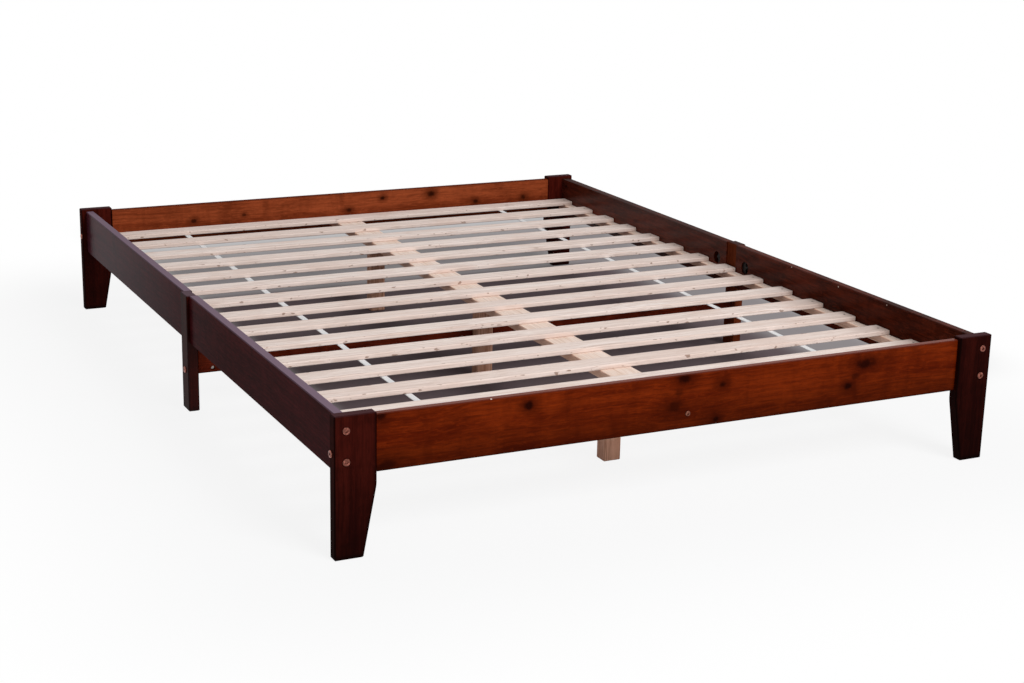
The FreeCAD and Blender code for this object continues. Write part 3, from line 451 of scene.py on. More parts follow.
def stained_timber(name, along, dark, light, up="Z", seed=0.0, spots=(), chips=(), painted_top_light=None,
                   painted_top_light_share=0.0, coat=(0.03, 0.03), coat_run=(-0.4, 0.98), top_coat=0.3,
                   painted_downward_shade=(0.0, 0.3, 1.0), rims=None, painted_rear_light=None, painted_outer_shade=None):
    """Stained pine: streaks between two tones, darker late wood, mottling, knots, chips and dark corners.

    The lacquer's weight runs from the first to the second value of coat along coat_run of the bed's length,
    and level tops have their own weight and a painted sheen, which is a painted shade where its tone is
    darker. A painted shade makes the stain darker downwards, by the given factor at its low height, and
    darker still in a band along the lower edge. A painted light is added towards the rear on faces that look
    to -X, and those that look to +X are multiplied by a tone of painted shade.
    """
    finish = Finish(name, roughness=0.45, specular=0.0)
    height = finish.axes["Z"]
    rearward = finish.axes["Y"]

    def marked(base, kind, mask):
        share, factor = STAIN_MARKS[kind]
        return finish.blend(finish.times(mask, share), base, scaled(dark, factor))

    fields = grain(finish, along, seed)
    fields["cloud"] = face_noise(finish, along, up, 24.0, 5.0, seed)
    fields["flame"] = face_noise(
        finish, along, up, 38.0, 150.0, seed, detail=4.0, roughness=0.65, distortion=0.8)
    fields["chatter"] = face_noise(finish, along, up, 190.0, 7.0, 0.0)
    tones = {"dark": dark, "light": light}
    base = finish.blend(finish.step(fields["streak"], 0.3, 0.7), dark, light)
    for field, start, full, share, tone, factor in STAIN_LAYERS:
        base = finish.layer(base, fields[field], start, full, share, scaled(tones[tone], factor))
    if spots:
        core, halo = knots(finish, along, up, spots)
        base = marked(base, "knot_halo", halo)
        base = marked(base, "knot_core", core)
    # Painted shade: darker downwards, and darker still in a band along the lower edge
    low, high, factor = painted_downward_shade
    base = finish.blend(finish.step(height, low, high, 1.0 - factor, 0.0), base, (0.0, 0.0, 0.0))
    base = marked(base, "painted_lower_shade", finish.step(height, *(low + rise for rise in LOWER_SHADE_HEIGHTS)))
    base = marked(base, "corner", finish.arris())
    if rims:
        base = marked(base, "rim", rims(finish))
    # Painted light added towards the rear on faces that look to -X, a painted reflection on the left rails
    if painted_rear_light:
        leftward = finish.step(finish.normals()["X"], -0.3, -0.7)
        base = finish.blend(finish.times(leftward, finish.step(rearward, *coat_run)), base, painted_rear_light, "ADD")
    # Painted shade on faces that look to +X
    if painted_outer_shade:
        base = finish.blend(finish.step(finish.normals()["X"], 0.3, 0.7), base, painted_outer_shade, "MULTIPLY")
    level = finish.facing_up()
    # Painted sheen on level tops, a painted shade where the given tone is darker
    if painted_top_light:
        base = finish.blend(finish.times(level, painted_top_light_share), base, painted_top_light)
    if chips:
        base = finish.blend(nicks(finish, chips), base, BARE_WOOD)
    lacquer = finish.step(rearward, *coat_run, *coat)
    lacquer = finish.math("MULTIPLY_ADD", level, finish.minus(top_coat, lacquer), lacquer)
    gloss = finish.step(fields["ring"], 0.2, 0.8, bottom=0.4, top=0.52)
    finish.set(Base_Color=base, Roughness=gloss, Coat_Weight=lacquer, Coat_Roughness=0.24)
    relief = finish.plus(finish.times(fields["ring"], 0.6), fields["pore"])
    finish.bump(relief, strength=0.12, distance=0.0006)
    return finish.material


def raw_pine(name, along, pale, warm, rows=None, specks=0.08, painted_end_shade=(0.0, 0.0)):
    """Planed pine: warm late-wood lines and flecks in pale wood, and small knots in a share of cells.

    A row of boards, given by its axis, first middle, pitch and half width, gets its own tone and grain for
    every board, dark bark specks along the boards' long edges, and a mottled painted shade that darkens the
    ends from one place to another.
    """
    finish = Finish(name, roughness=0.62, specular=0.25)
    run = finish.axes[along]
    first, second = (finish.axes[axis] for axis in "XYZ" if axis != along)

    def in_cells(size):
        """Place in cells of the given number a metre along and across the grain, shifted for the board."""
        lengthways, across = size
        return finish.vector(
            finish.math("MULTIPLY_ADD", run, lengthways, seed), finish.times(first, across),
            finish.times(second, across))

    seed = 0.0
    board = 0.5
    if rows:
        axis, start, pitch, half = rows
        place = finish.math("DIVIDE", finish.minus(finish.axes[axis], start), pitch)
        row = finish.math("ROUND", place)
        chance = finish.node("ShaderNodeTexWhiteNoise", noise_dimensions="1D")
        finish.feed(chance.inputs["W"], row)
        board = chance.outputs["Value"]
        seed = finish.times(board, 17.0)
        from_middle = finish.size(finish.times(finish.minus(place, row), pitch / half))
        edge = finish.step(from_middle, *BOARD_EDGE)
    fields = grain(finish, along, seed)
    fields["board"] = board
    base = pale
    for field, low, high, share, factor in PINE_LAYERS:
        base = finish.layer(base, fields[field], low, high, share, scaled(warm, factor))
    cells = finish.node("ShaderNodeTexVoronoi", feature="F1")
    cells.inputs["Scale"].default_value = 1.0
    finish.feed(cells.inputs["Vector"], in_cells(PINE_CELLS))
    pick = finish.node("ShaderNodeSeparateColor")
    finish.feed(pick.inputs[0], cells.outputs["Color"])
    chosen = finish.step(pick.outputs[0], 1.0 - specks, 1.02 - specks)
    spot = finish.times(finish.step(cells.outputs["Distance"], *PINE_KNOT), chosen)
    ring = finish.times(finish.step(cells.outputs["Distance"], *PINE_KNOT_RING), chosen)
    base = finish.blend(finish.times(ring, 0.35), base, scaled(warm, 0.85))
    base = finish.blend(finish.times(spot, 0.6), base, KNOT_BROWN)
    if rows:
        base = finish.blend(finish.times(edge, 0.3), base, scaled(warm, 0.8))
        # Mottled painted shade towards the boards' ends
        end_shade_mottle = finish.step(fields["mottle"], 0.3, 0.6, bottom=0.2, top=0.6)
        base = finish.blend(finish.times(finish.step(run, *painted_end_shade), end_shade_mottle), base, scaled(warm, 0.55))
        bark = finish.noise(in_cells(BARK_CELLS), detail=1.0)
        dark_edge = finish.times(finish.step(bark, *BARK_SPECK), edge)
        base = finish.blend(finish.times(dark_edge, 0.75), base, BARK_BROWN)
    # Painted shade on faces that look to +X and -X
    if along == "Y":
        sideways = finish.step(finish.size(finish.normals()["X"]), 0.3, 0.7)
        base = finish.blend(sideways, base, SIDE_SHADE, "MULTIPLY")
    dulled = finish.step(fields["ring"], 0.2, 0.8, bottom=0.55, top=0.7)
    finish.set(Base_Color=base, Roughness=dulled)
    relief = finish.plus(fields["ring"], finish.times(fields["pore"], 0.7))
    finish.bump(relief, strength=0.18, distance=0.0005)
    return finish.material


# Posts

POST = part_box("corner_post_front_left")
POST_TAPER_HEIGHT = 0.148
POST_FOOT_WIDTH = 0.061
# Distances from an edge, or from the foot, where the darkening starts and is full
INNER_RIM = (0.007, 0.001)
OUTER_RIM = (0.005, 0.001)
FOOT_RIM = (0.012, 0.002)


def post_rims(finish):
    """Darker along the upright edges and the foot of a post's broad faces.

    The inner edge is at the post's width above the taper, and below that it moves out evenly with depth.
    """
    outer = -POST[0][0]
    inner = -POST[1][0]
    lean = (outer - POST_FOOT_WIDTH - inner) / POST_TAPER_HEIGHT
    reach = finish.size(finish.axes["X"])
    below = finish.largest(finish.minus(POST_TAPER_HEIGHT, finish.axes["Z"]), 0.0)
    from_edge = finish.minus(reach, finish.math("MULTIPLY_ADD", below, lean, inner))
    inner_rim = finish.step(from_edge, *INNER_RIM)
    outer_rim = finish.step(reach, *(outer - width for width in OUTER_RIM))
    foot = finish.step(finish.axes["Z"], *FOOT_RIM)
    broad = finish.step(finish.size(finish.normals()["Y"]), 0.3, 0.8)
    return finish.times(finish.largest(inner_rim, outer_rim, foot), broad)


# Metal and webbing

THREAD_ALONG = 0.0018
THREAD_ACROSS = 0.0015


def coated_metal(name, colour, roughness, wear_and_glint):
    """Metal coating with fine mottling and brighter patches, partly rubbed wear and partly painted
    highlights.
    """
    finish = Finish(name, roughness)
    mottle = finish.noise(finish.place, scale=900.0, detail=3.0)
    patches = finish.noise(finish.place, scale=260.0, detail=2.0)
    bright = tuple(min(1.0, part) for part in scaled(colour, 2.6))
    base = finish.layer(colour, mottle, 0.3, 0.7, 0.35, scaled(colour, 0.5))
    # Brighter patches: rubbed wear and painted highlights
    base = finish.layer(base, patches, 0.48, 0.62, wear_and_glint, bright)
    dulled = finish.step(mottle, 0.2, 0.8, roughness * 0.8, roughness * 1.25)
    finish.set(Base_Color=base, Metallic=1.0, Roughness=dulled)
    finish.bump(mottle, strength=0.08, distance=0.0002)
    return finish.material


def woven_tape(name, colour):
    """Webbing: over-and-under threads as the product of two waves, with a slightly grey valley."""
    finish = Finish(name, roughness=0.85, specular=0.2)
    weft = finish.math("SINE", finish.times(finish.axes["Y"], 2 * math.pi / THREAD_ALONG))
    warp = finish.math("SINE", finish.times(finish.axes["X"], 2 * math.pi / THREAD_ACROSS))
    thread = finish.step(finish.times(weft, warp), -1.0, 1.0)
    base = finish.blend(thread, scaled(colour, 0.78), colour)
    soil = finish.noise(finish.place, scale=60.0, detail=3.0)
    base = finish.layer(base, soil, 0.45, 0.8, 0.25, scaled(colour, 0.8))
    finish.set(Base_Color=base, Sheen_Weight=0.2)
    finish.bump(thread, strength=0.35, distance=0.0004)
    return finish.material


def wear(node, material):
    """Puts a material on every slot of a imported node."""
    piece = NODES[node]
    if not piece.material_slots:
        piece.data.materials.append(material)
    for slot in piece.material_slots:
        slot.material = material


# Bolts

HEAD_HEIGHT = 0.003
SHANK_RADIUS = 0.003
SOCKET_BREAK = 0.0003
HEAD_BREAK = 0.0002
SHANK_BREAK = 0.001
RIM_STEPS = 7


def bolt_rings(settings, head_radius, reach):
    """Turned bolt along +Z from its seat: hexagon socket, rounded rim, underside and shank, ring by ring.

    Each ring is a radius for every angle and one height. The socket's radius is that of a hexagon's side,
    its half width over the cosine of the angle to the side's middle; all other rings are circles.
    """
    angle = np.arange(settings.sides) * 2 * math.pi / settings.sides
    to_side = (angle + math.pi / 6) % (math.pi / 3) - math.pi / 6
    hexagon = settings.socket * math.cos(math.pi / 6) / np.cos(to_side)
    circle = np.ones_like(angle)
    rim = settings.rim
    floor = HEAD_HEIGHT - settings.socket_depth
    rings = [
        (hexagon * 0.5, floor),
        (hexagon, floor),
        (hexagon, HEAD_HEIGHT - SOCKET_BREAK),
        (hexagon + SOCKET_BREAK, HEAD_HEIGHT),
    ]
    for turn in np.linspace(0, math.pi / 2, RIM_STEPS):
        radius = head_radius - rim + rim * math.sin(turn)
        rings.append((circle * radius, HEAD_HEIGHT - rim + rim * math.cos(turn)))
    rings += [
        (circle * head_radius, HEAD_BREAK),
        (circle * (head_radius - HEAD_BREAK), 0.0),
        (circle * SHANK_RADIUS, 0.0),
        (circle * SHANK_RADIUS, -reach + SHANK_BREAK),
        (circle * (SHANK_RADIUS - SHANK_BREAK), -reach),
    ]
    radii = np.stack([radius for radius, height in rings])
    heights = np.array([height for radius, height in rings])[:, None] * circle
    return np.stack([radii * np.cos(angle), radii * np.sin(angle), heights], axis=-1)[::-1]


def turned_to(rings, seat, outward):
    """Rings along +Z, moved to a seat and turned so that +Z looks outward."""
    outward = np.asarray(outward, float)
    side = np.cross(outward, (0.0, 0.0, 1.0))
    up = np.cross(side, outward)
    axes = np.stack([up, np.cross(outward, up), outward])
    return rings @ axes + np.asarray(seat, float)


# Operators

class BEDBASE_OT_stain_frame(Operator):
    """Stains the rails, posts, side legs and the cross beam"""

    bl_idname = "bedbase.stain_frame"
    bl_label = "Stain Frame"

    FRONT_KNOTS = (
        (-0.699, 0.286, 0.012, 0.9, 1.4), (-0.378, 0.267, 0.012, 1.0, 1.2),
        (-0.009, 0.283, 0.015, 0.95, 1.5), (0.084, 0.259, 0.01, 0.9, 1.2),
        (-0.034, 0.223, 0.018, 0.7, 1.3), (-0.024, 0.252, 0.013, 0.45, 1.0),
        (0.072, 0.182, 0.009, 0.85, 1.2), (0.458, 0.264, 0.015, 0.95, 2.2),
        (0.413, 0.216, 0.012, 1.0, 1.3), (0.431, 0.238, 0.01, 0.5, 1.6),
        (-0.69, 0.178, 0.02, 0.7, 1.6),
    )
    REAR_KNOTS = (
        (-0.468, 0.241, 0.009, 0.9, 1.3), (-0.313, 0.248, 0.006, 0.7, 1.3),
        (0.023, 0.239, 0.009, 0.9, 1.3), (0.136, 0.269, 0.008, 1.0, 1.3),
        (0.299, 0.271, 0.012, 1.0, 1.3), (0.452, 0.237, 0.009, 0.9, 1.3),
        (0.622, 0.239, 0.01, 0.85, 1.3),
    )
    FRONT_CHIPS = ((-0.461, -1.033, 0.291, 0.0025),)
    RIGHT_CHIPS = (
        (0.764, -0.501, 0.285, 0.0026), (0.764, -0.701, 0.286, 0.0022), (0.764, -0.292, 0.289, 0.0018),
    )
    # Each post's painted light and shade, as a factor on the post colours, and its seed
    POSTS = {
        "front_left": (0.95, 1.3),
        "front_right": (0.58, 4.6),
        "rear_left": (1.35, 9.2),
        "rear_right": (1.8, 11.4),
    }
    RIGHT_LEG_TONE = 0.55
    FADE_BELOW_EDGE = 0.005
    FADE_BELOW_TOP = 0.03

    def execute(self, context):
        stain = context.scene.bed_stain
        rail_low, rail_high = (corner[2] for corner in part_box("end_rail_front"))
        leg_dark = scaled(stain.rear_dark, self.RIGHT_LEG_TONE)
        leg_light = scaled(stain.rear_light, self.RIGHT_LEG_TONE)
        # Tones given for level tops are a painted sheen, and a painted shade on the rear rail and the right
        # leg; tones for faces that look to +X and the downward factors are a painted shade
        finishes = {
            "end_rail_front": stained_timber(
                "Front rail stain", "X", stain.front_dark, stain.front_light, spots=self.FRONT_KNOTS,
                chips=self.FRONT_CHIPS, painted_top_light=(0.17, 0.035, 0.018), painted_top_light_share=0.7, top_coat=0.32,
                painted_downward_shade=(rail_low - self.FADE_BELOW_EDGE, rail_high - self.FADE_BELOW_TOP, 0.52)),
            "end_rail_rear": stained_timber(
                "Rear rail stain", "X", stain.rear_dark, stain.rear_light, seed=3.7,
                spots=self.REAR_KNOTS, painted_top_light=(0.08, 0.012, 0.005), painted_top_light_share=0.7, top_coat=0.03),
            "cross_beam": stained_timber(
                "Cross beam stain", "X", stain.cross_dark, stain.cross_light, seed=7.1, top_coat=0.03),
            "mid_leg_right": stained_timber(
                "Right leg stain", "Z", leg_dark, leg_light, up="Y", seed=2.2, painted_top_light=stain.post_dark,
                painted_top_light_share=0.9, top_coat=0.12, painted_outer_shade=(0.3, 0.26, 0.36)),
            "mid_leg_left": stained_timber(
                "Left leg stain", "Z", stain.post_dark, stain.post_light, up="Y", seed=6.4,
                coat=(0.12, 0.12), painted_top_light=(0.1, 0.055, 0.075), painted_top_light_share=0.8, top_coat=0.12),
        }
        for corner, (tone, seed) in self.POSTS.items():
            finishes[f"corner_post_{corner}"] = stained_timber(
                f"Post stain {corner}", "Z", scaled(stain.post_dark, tone),
                scaled(stain.post_light, tone), up="X", seed=seed, painted_top_light=(0.06, 0.022, 0.026),
                painted_top_light_share=0.8, top_coat=0.06, painted_downward_shade=(0.0, 0.27, 0.42), rims=post_rims)
        # The left rails get a painted sheen on their tops and a painted reflection towards the rear; the
        # right rails get a painted light towards the rear and a painted shade on faces that look to +X
        left = stained_timber(
            "Left rail stain", "Y", stain.left_dark, stain.left_light, seed=5.9,
            painted_top_light=(0.198, 0.134, 0.182), painted_top_light_share=0.9, coat=(0.05, 0.2), top_coat=0.1,
            painted_rear_light=(0.006, 0.006, 0.012))
        right = stained_timber(
            "Right rail stain", "Y", stain.right_dark, stain.right_light, seed=8.3,
            chips=self.RIGHT_CHIPS, coat=(0.05, 0.4), coat_run=(-1.0, 0.6), top_coat=0.13,
            painted_outer_shade=(0.55, 0.5, 0.9), painted_rear_light=(0.015, 0.005, 0.004))
        for node, slot in SLOT_OF.items():
            if slot == "dark_side_rails":
                finishes[node] = left if "left" in node else right
        for node, material in finishes.items():
            wear(node, material)
        return {"FINISHED"}


class BEDBASE_OT_pine(Operator):
    """Gives the slats, centre beam, centre legs, ledges and dowels their raw pine"""

    bl_idname = "bedbase.pine"
    bl_label = "Raw Pine"

    # Length of the painted shade at the slats' ends
    PAINTED_END_SHADE_LENGTH = 0.13

    def execute(self, context):
        pine = context.scene.bed_pine
        end = FIRST_SLAT[1][0]
        slat = raw_pine(
            "Slat pine", "X", pine.slat_pale, pine.slat_warm, ("Y", SLAT_MIDDLE, SLAT_PITCH, SLAT_HALF),
            painted_end_shade=(end - self.PAINTED_END_SHADE_LENGTH, end))
        lengthways = raw_pine("Beam pine", "Y", pine.beam_pale, pine.beam_warm)
        upright = raw_pine("Leg pine", "Z", pine.leg_pale, pine.leg_warm)
        for node, slot in SLOT_OF.items():
            if slot == "slat_pine":
                wear(node, slat)
            elif slot == "raw_pine":
                wear(node, upright if node.startswith("centre_leg") else lengthways)
            elif slot == "beech_dowels":
                wear(node, lengthways)
        return {"FINISHED"}


class BEDBASE_OT_hardware(Operator):
    """Plates the screws, studs, washers and nuts"""

    bl_idname = "bedbase.hardware"
    bl_label = "Hardware"

    BLACK = ("slat_screws", "half_moon_washers", "stud_nuts")

    def execute(self, context):
        zinc = coated_metal("Zinc plate", (0.3, 0.28, 0.26), roughness=0.38, wear_and_glint=0.4)
        blackened = coated_metal("Blackened steel", (0.022, 0.02, 0.02), roughness=0.5, wear_and_glint=0.3)
        for node, slot in SLOT_OF.items():
            if slot == "zinc_hardware":
                wear(node, blackened if node in self.BLACK else zinc)
        return {"FINISHED"}


class BEDBASE_OT_bolts(Operator):
    """Builds the frame bolts with rounded heads and hexagon sockets in place of the plain ones"""

    bl_idname = "bedbase.bolts"
    bl_label = "Bolts"

    HEAD_RADIUS = 0.008
    BEAM_HEAD_RADIUS = 0.006
    EDGE_BOLT_INSET = 0.018
    EDGE_BOLT_HEIGHT = 0.218
    SHARP_ANGLE = 35

    def execute(self, context):
        settings = context.scene.bed_bolts
        bronze = coated_metal("Bolt bronze", settings.metal, roughness=0.34, wear_and_glint=0.6)
        brown = coated_metal("Beam bolt bronze", settings.beam_metal, roughness=0.34, wear_and_glint=0.6)
        for end, y_sign in (("front", -1), ("rear", 1)):
            for side, x_sign in (("left", -1), ("right", 1)):
                tubes = self.corner(settings, end, side, x_sign, y_sign)
                self.build(f"frame_bolts_{end}_{side}", tubes, bronze, f"corner_bolts_{end}_{side}")
            node = f"centre_beam_bolt_{end}"
            tube = self.lone(settings, node, self.BEAM_HEAD_RADIUS, 1, y_sign)
            self.build(f"beam_end_bolt_{end}", [tube], brown, node)
        for side, x_sign in (("left", -1), ("right", 1)):
            node = f"cross_beam_bolt_{side}"
            tube = self.lone(settings, node, self.HEAD_RADIUS, 0, x_sign)
            self.build(f"cross_end_bolt_{side}", [tube], bronze, node)
        return {"FINISHED"}

    def span(self, node, axis, sign):
        """Seat and reach along an axis: a bolt's seat is one head height inside its outer end."""
        low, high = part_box(node)
        outer, inner = (high[axis], low[axis]) if sign > 0 else (low[axis], high[axis])
        seat = outer - sign * HEAD_HEIGHT
        return seat, abs(seat - inner)

    def lone(self, settings, node, head_radius, axis, sign):
        """One bolt on the middle line of its own solid, looking outward along an axis."""
        low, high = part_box(node)
        seat = [(low[k] + high[k]) / 2 for k in range(3)]
        seat[axis], reach = self.span(node, axis, sign)
        outward = [sign if k == axis else 0 for k in range(3)]
        return turned_to(bolt_rings(settings, head_radius, reach), seat, outward)

    def corner(self, settings, end, side, x_sign, y_sign):
        """Two bolts through a post's face into the side rail, and one through its edge into the end."""
        node = f"corner_bolts_{end}_{side}"
        low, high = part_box(node)
        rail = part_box(f"side_rail_{side}_{end}")
        rail_middle = (rail[0][0] + rail[1][0]) / 2
        post_edge, edge_reach = self.span(node, 0, x_sign)
        post_face, face_reach = self.span(node, 1, y_sign)
        face_rings = bolt_rings(settings, self.HEAD_RADIUS, face_reach)
        tubes = [
            turned_to(face_rings, (rail_middle, post_face, height), (0, y_sign, 0))
            for height in (high[2] - self.HEAD_RADIUS, low[2] + self.HEAD_RADIUS)
        ]
        seat = (post_edge, post_face - y_sign * self.EDGE_BOLT_INSET, self.EDGE_BOLT_HEIGHT)
        edge_rings = bolt_rings(settings, self.HEAD_RADIUS, edge_reach)
        return tubes + [turned_to(edge_rings, seat, (x_sign, 0, 0))]

    def build(self, name, tubes, metal, node):
        points, faces = joined_tubes(tubes)
        piece = mesh_object(name, points, faces, metal)
        piece.data.set_sharp_from_angle(angle=math.radians(self.SHARP_ANGLE))
        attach(piece, "root")
        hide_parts(node)


class BEDBASE_OT_straps(Operator):
    """Lays the webbing straps under the slats and staples them"""

    bl_idname = "bedbase.straps"
    bl_label = "Straps"

    ACROSS_POINTS = 7
    ALONG_POINTS = 421
    DRIFT_RATE = 0.37
    DRIFT_SHIFT = 9.0
    WIRE_SIDES = 8
    STAPLE_LEG = 0.007
    STAPLE_BEND = (0.0008, 0.0012)
    STAPLE_LEAN = 0.0006
    STAPLE_SINK = 0.2

    def execute(self, context):
        settings = context.scene.bed_straps
        tape = woven_tape("Webbing tape", settings.colour)
        wire = coated_metal("Staple wire", (0.6, 0.6, 0.62), roughness=0.3, wear_and_glint=0.2)
        for side in ("left", "right"):
            node = f"webbing_strap_{side}"
            low, high = (np.array(corner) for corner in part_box(node))
            strap = self.strap(f"slat_tape_{side}", settings, low, high, tape)
            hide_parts(node)
            staples = self.staples(f"tape_staples_{side}", settings, low, high, wire)
        return {"FINISHED"}

    def strap(self, name, settings, low, high, tape):
        """Flat tape: a grid that dips by a squared sine between slats and drifts sideways by a slow one."""
        across = np.linspace(low[0], high[0], self.ACROSS_POINTS)
        along = np.linspace(low[1], high[1], self.ALONG_POINTS)
        phase = math.pi * (along - SLAT_MIDDLE) / SLAT_PITCH
        inside = (along > FIRST_SLAT[1][1]) & (along < LAST_SLAT[0][1])
        dip = settings.sag * np.sin(phase) ** 2 * inside
        drift = settings.wander * np.sin(phase * self.DRIFT_RATE + low[0] * self.DRIFT_SHIFT)
        thickness = high[2] - low[2]
        x = across[None, :] + drift[:, None]
        y = np.broadcast_to(along[:, None], x.shape)
        z = np.broadcast_to((low[2] + thickness / 2 - dip)[:, None], x.shape)
        points, quads = surface_arrays(np.stack([x, y, z], axis=-1), False)
        piece = mesh_object(name, points, quads, tape)
        solid = piece.modifiers.new("Tape thickness", "SOLIDIFY")
        solid.thickness = thickness
        solid.offset = 0.0
        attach(piece, "root")
        return piece

    def staples(self, name, settings, low, high, wire):
        """One staple under every slat: a round wire along a flat crown, with two legs up into the slat.

        Each point of the wire's path has a ring round it, in the plane of the normal there and Y.
        """
        half = settings.staple_crown / 2
        radius = settings.staple_wire / 2
        middle = (low[0] + high[0]) / 2
        crown = low[2] - radius * self.STAPLE_SINK
        turn = np.arange(self.WIRE_SIDES) * 2 * math.pi / self.WIRE_SIDES
        bend_run, bend_rise = self.STAPLE_BEND
        path = np.array([
            (-half, self.STAPLE_LEG), (-half, bend_rise), (-half + bend_run, 0.0),
            (half - bend_run, 0.0), (half, bend_rise), (half, self.STAPLE_LEG),
        ])
        normal = np.array([
            (1.0, 0.0), (0.92, 0.38), (0.38, 0.92), (-0.38, 0.92), (-0.92, 0.38), (-1.0, 0.0),
        ])
        tubes = []
        for row in range(len(SLATS)):
            y = SLAT_MIDDLE + row * SLAT_PITCH + radius * np.sin(turn)
            lean = self.STAPLE_LEAN * math.sin(row * 2.3)
            x = middle + path[:, :1] + normal[:, :1] * radius * np.cos(turn) + lean
            z = crown + path[:, 1:] + normal[:, 1:] * radius * np.cos(turn)
            tubes.append(np.stack([x, np.broadcast_to(y, x.shape), z], axis=-1))
        points, faces = joined_tubes(tubes)
        piece = mesh_object(name, points, faces, wire)
        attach(piece, "root")
        return piece


class BEDBASE_OT_stage(Operator):
    """Lays the pale floor, hangs the lamp and sets the photograph's camera"""

    bl_idname = "bedbase.stage"
    bl_label = "Stage"

    # The camera's axes and place
    RIGHT = (0.89925717, -0.43691222, 0.02107715)
    DOWN = (-0.10101572, -0.25431147, -0.96183237)
    AHEAD = (0.42559648, 0.86280553, -0.27282641)
    STAND = (-1.97306, -4.186774, 1.40275)
    SENSOR = 36.0

    KEY_PLACE = (1.7, -7.65, 6.45)
    KEY_TARGET = (0.0, 0.0, 0.25)
    KEY_SIZE = 4.0

    FLOOR_REACH = 60.0
    FLOOR_POINTS = 25
    # Where each side of the floor's shade starts and where it is full
    SHADE_LEFT = (-0.64, -0.42)
    SHADE_FRONT = (-0.62, -0.2)
    # Right side, rear side and share of the deep shade and of the lighter spill
    SHADES = (((1.3, 0.85), (1.35, 0.95), 1.0), ((1.5, 1.1), (2.3, 1.4), 0.87))
    # Distances from the bed between which the white grows, and its shares there
    WHITE_RUN = (0.05, 0.8)
    WHITE_SHARES = (0.87, 1.0)

    def execute(self, context):
        scene = context.scene
        settings = scene.bed_stage
        scene.view_settings.view_transform = "Standard"
        self.camera(scene, settings)
        self.floor(settings)
        self.world(scene, settings)
        self.lamp(scene, settings)
        return {"FINISHED"}

    def posed(self, scene, name, data, axes, place):
        """Object with the given axes as its matrix's columns, and a place."""
        made = bpy.data.objects.new(name, data)
        scene.collection.objects.link(made)
        rows = [(*(axis[k] for axis in axes), place[k]) for k in range(3)]
        made.matrix_world = Matrix(rows + [(0.0, 0.0, 0.0, 1.0)])
        return made

    def camera(self, scene, settings):
        lens = bpy.data.cameras.new("Photo camera")
        lens.sensor_fit = "HORIZONTAL"
        lens.sensor_width = self.SENSOR
        lens.lens = settings.lens
        lens.clip_end = 200.0
        axes = (self.RIGHT, scaled(self.DOWN, -1.0), scaled(self.AHEAD, -1.0))
        scene.camera = self.posed(scene, "Photo camera", lens, axes, self.STAND)

    def floor(self, settings):
        """Level square grid: pale, in drawn shade under the slats, and plain white away from the bed.

        The shade is a rectangle with soft sides, and a lighter and wider one to the right and the rear.
        The white grows with the distance from the bed's own outline.
        """
        reach = np.linspace(-self.FLOOR_REACH, self.FLOOR_REACH, self.FLOOR_POINTS)
        x, y = np.meshgrid(reach, reach)
        points, quads = surface_arrays(np.stack([x, y, np.zeros_like(x)], axis=-1), False)
        finish = Finish("Studio floor", roughness=0.9, specular=0.0)
        shade = self.shade(finish)
        finish.set(Base_Color=finish.blend(shade, settings.floor_colour, settings.shade_colour))
        path = finish.node("ShaderNodeLightPath").outputs
        seen = finish.largest(path["Is Camera Ray"], path["Is Glossy Ray"], path["Is Transmission Ray"])
        beside, beyond = (
            finish.largest(finish.minus(finish.size(finish.axes[axis]), edge), 0.0)
            for axis, edge in zip("XY", CAD_BOX[1])
        )
        square = finish.math("MULTIPLY_ADD", beside, beside, finish.times(beyond, beyond))
        far = finish.step(finish.math("SQRT", square), *self.WHITE_RUN, *self.WHITE_SHARES)
        far = finish.times(far, finish.minus(1.0, shade))
        white = finish.node("ShaderNodeEmission")
        mix = finish.node("ShaderNodeMixShader")
        finish.feed(mix.inputs[0], finish.times(seen, far))
        finish.feed(mix.inputs[1], finish.shader.outputs[0])
        finish.feed(mix.inputs[2], white.outputs[0])
        finish.feed(finish.tree.nodes["Material Output"].inputs["Surface"], mix.outputs[0])
        mesh_object("studio_floor", points, quads, finish.material, False)

    def shade(self, finish):
        """1 in the deep shade, less in the spill, and 0 outside: products of steps along X and Y."""
        x = finish.axes["X"]
        y = finish.axes["Y"]
        near = finish.times(finish.step(x, *self.SHADE_LEFT), finish.step(y, *self.SHADE_FRONT))
        deep, spill = (
            finish.times(finish.step(x, *right, 0.0, share), finish.step(y, *rear))
            for right, rear, share in self.SHADES
        )
        return finish.times(near, finish.largest(deep, spill))

    def world(self, scene, settings):
        """Even light from all round, which camera and glossy rays see as plain white."""
        world = bpy.data.worlds.new("Studio")
        world.use_nodes = True
        nodes = world.node_tree.nodes
        links = world.node_tree.links
        background = nodes["Background"]
        path = nodes.new("ShaderNodeLightPath").outputs
        seen = nodes.new("ShaderNodeMath")
        seen.operation = "MAXIMUM"
        links.new(path["Is Camera Ray"], seen.inputs[0])
        links.new(path["Is Glossy Ray"], seen.inputs[1])
        level = nodes.new("ShaderNodeMapRange")
        links.new(seen.outputs[0], level.inputs["Value"])
        level.inputs["To Min"].default_value = settings.ambient
        level.inputs["To Max"].default_value = 1.0
        background.inputs["Color"].default_value = (1.0, 1.0, 1.0, 1.0)
        links.new(level.outputs["Result"], background.inputs["Strength"])
        scene.world = world

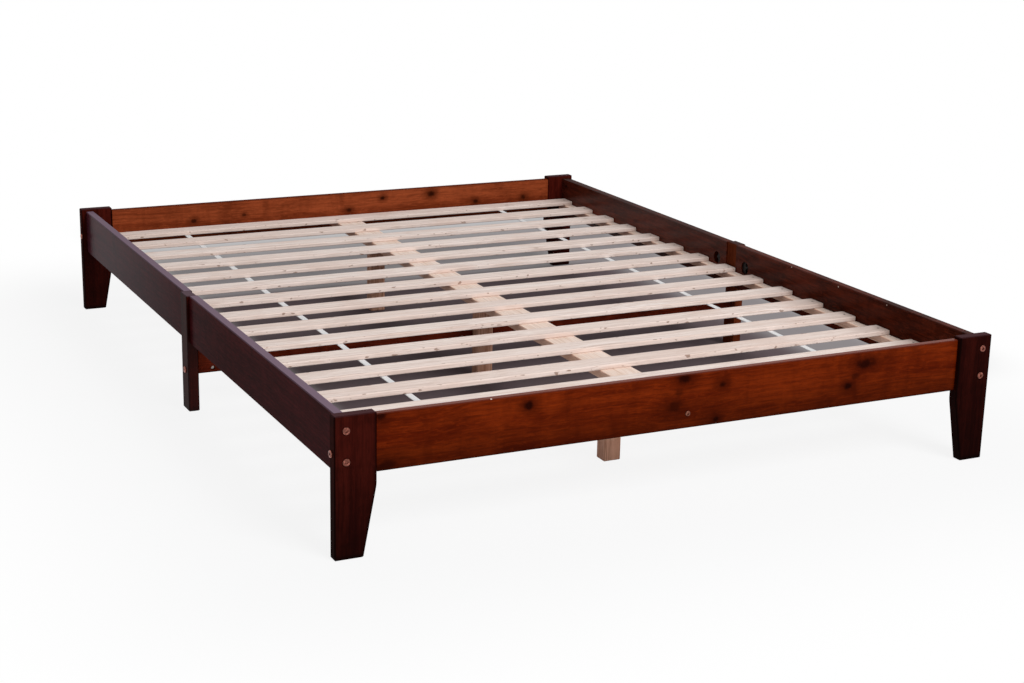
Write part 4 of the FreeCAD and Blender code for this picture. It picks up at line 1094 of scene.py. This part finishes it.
    def lamp(self, scene, settings):
        """Square soft lamp that looks at its target."""
        data = bpy.data.lights.new("Key lamp", "AREA")
        data.shape = "SQUARE"
        data.size = self.KEY_SIZE
        data.energy = settings.key_power
        back = np.array(self.KEY_PLACE) - np.array(self.KEY_TARGET)
        back /= np.linalg.norm(back)
        side = np.cross((0.0, 0.0, 1.0), back)
        side /= np.linalg.norm(side)
        lamp = self.posed(scene, "Key lamp", data, (side, np.cross(back, side), back), self.KEY_PLACE)
        lamp.visible_camera = False
        lamp.visible_glossy = False


# Panel and registration

class BEDBASE_PT_panel(Panel):
    """Steps that dress the bed base, in order"""

    bl_idname = "BEDBASE_PT_panel"
    bl_label = "Bed Base"
    bl_space_type = "VIEW_3D"
    bl_region_type = "UI"
    bl_category = "Bed Base"

    def draw(self, context):
        for operator in OPERATORS:
            self.layout.operator(operator.bl_idname)


SETTINGS = {
    "bed_stage": BedStageSettings,
    "bed_stain": BedStainSettings,
    "bed_pine": BedPineSettings,
    "bed_straps": BedStrapSettings,
    "bed_bolts": BedBoltSettings,
}
OPERATORS = (
    BEDBASE_OT_stage,
    BEDBASE_OT_stain_frame,
    BEDBASE_OT_pine,
    BEDBASE_OT_hardware,
    BEDBASE_OT_bolts,
    BEDBASE_OT_straps,
)


def register():
    for group in SETTINGS.values():
        bpy.utils.register_class(group)
    for operator in OPERATORS:
        bpy.utils.register_class(operator)
    bpy.utils.register_class(BEDBASE_PT_panel)
    for name, group in SETTINGS.items():
        setattr(bpy.types.Scene, name, PointerProperty(type=group))


def unregister():
    for name in SETTINGS:
        delattr(bpy.types.Scene, name)
    bpy.utils.unregister_class(BEDBASE_PT_panel)
    for operator in reversed(OPERATORS):
        bpy.utils.unregister_class(operator)
    for group in reversed(SETTINGS.values()):
        bpy.utils.unregister_class(group)


def main():
    register()
    bpy.ops.bedbase.stage()
    bpy.ops.bedbase.stain_frame()
    bpy.ops.bedbase.pine()
    bpy.ops.bedbase.hardware()
    bpy.ops.bedbase.bolts()
    bpy.ops.bedbase.straps()


if __name__ == "__main__":
    main()
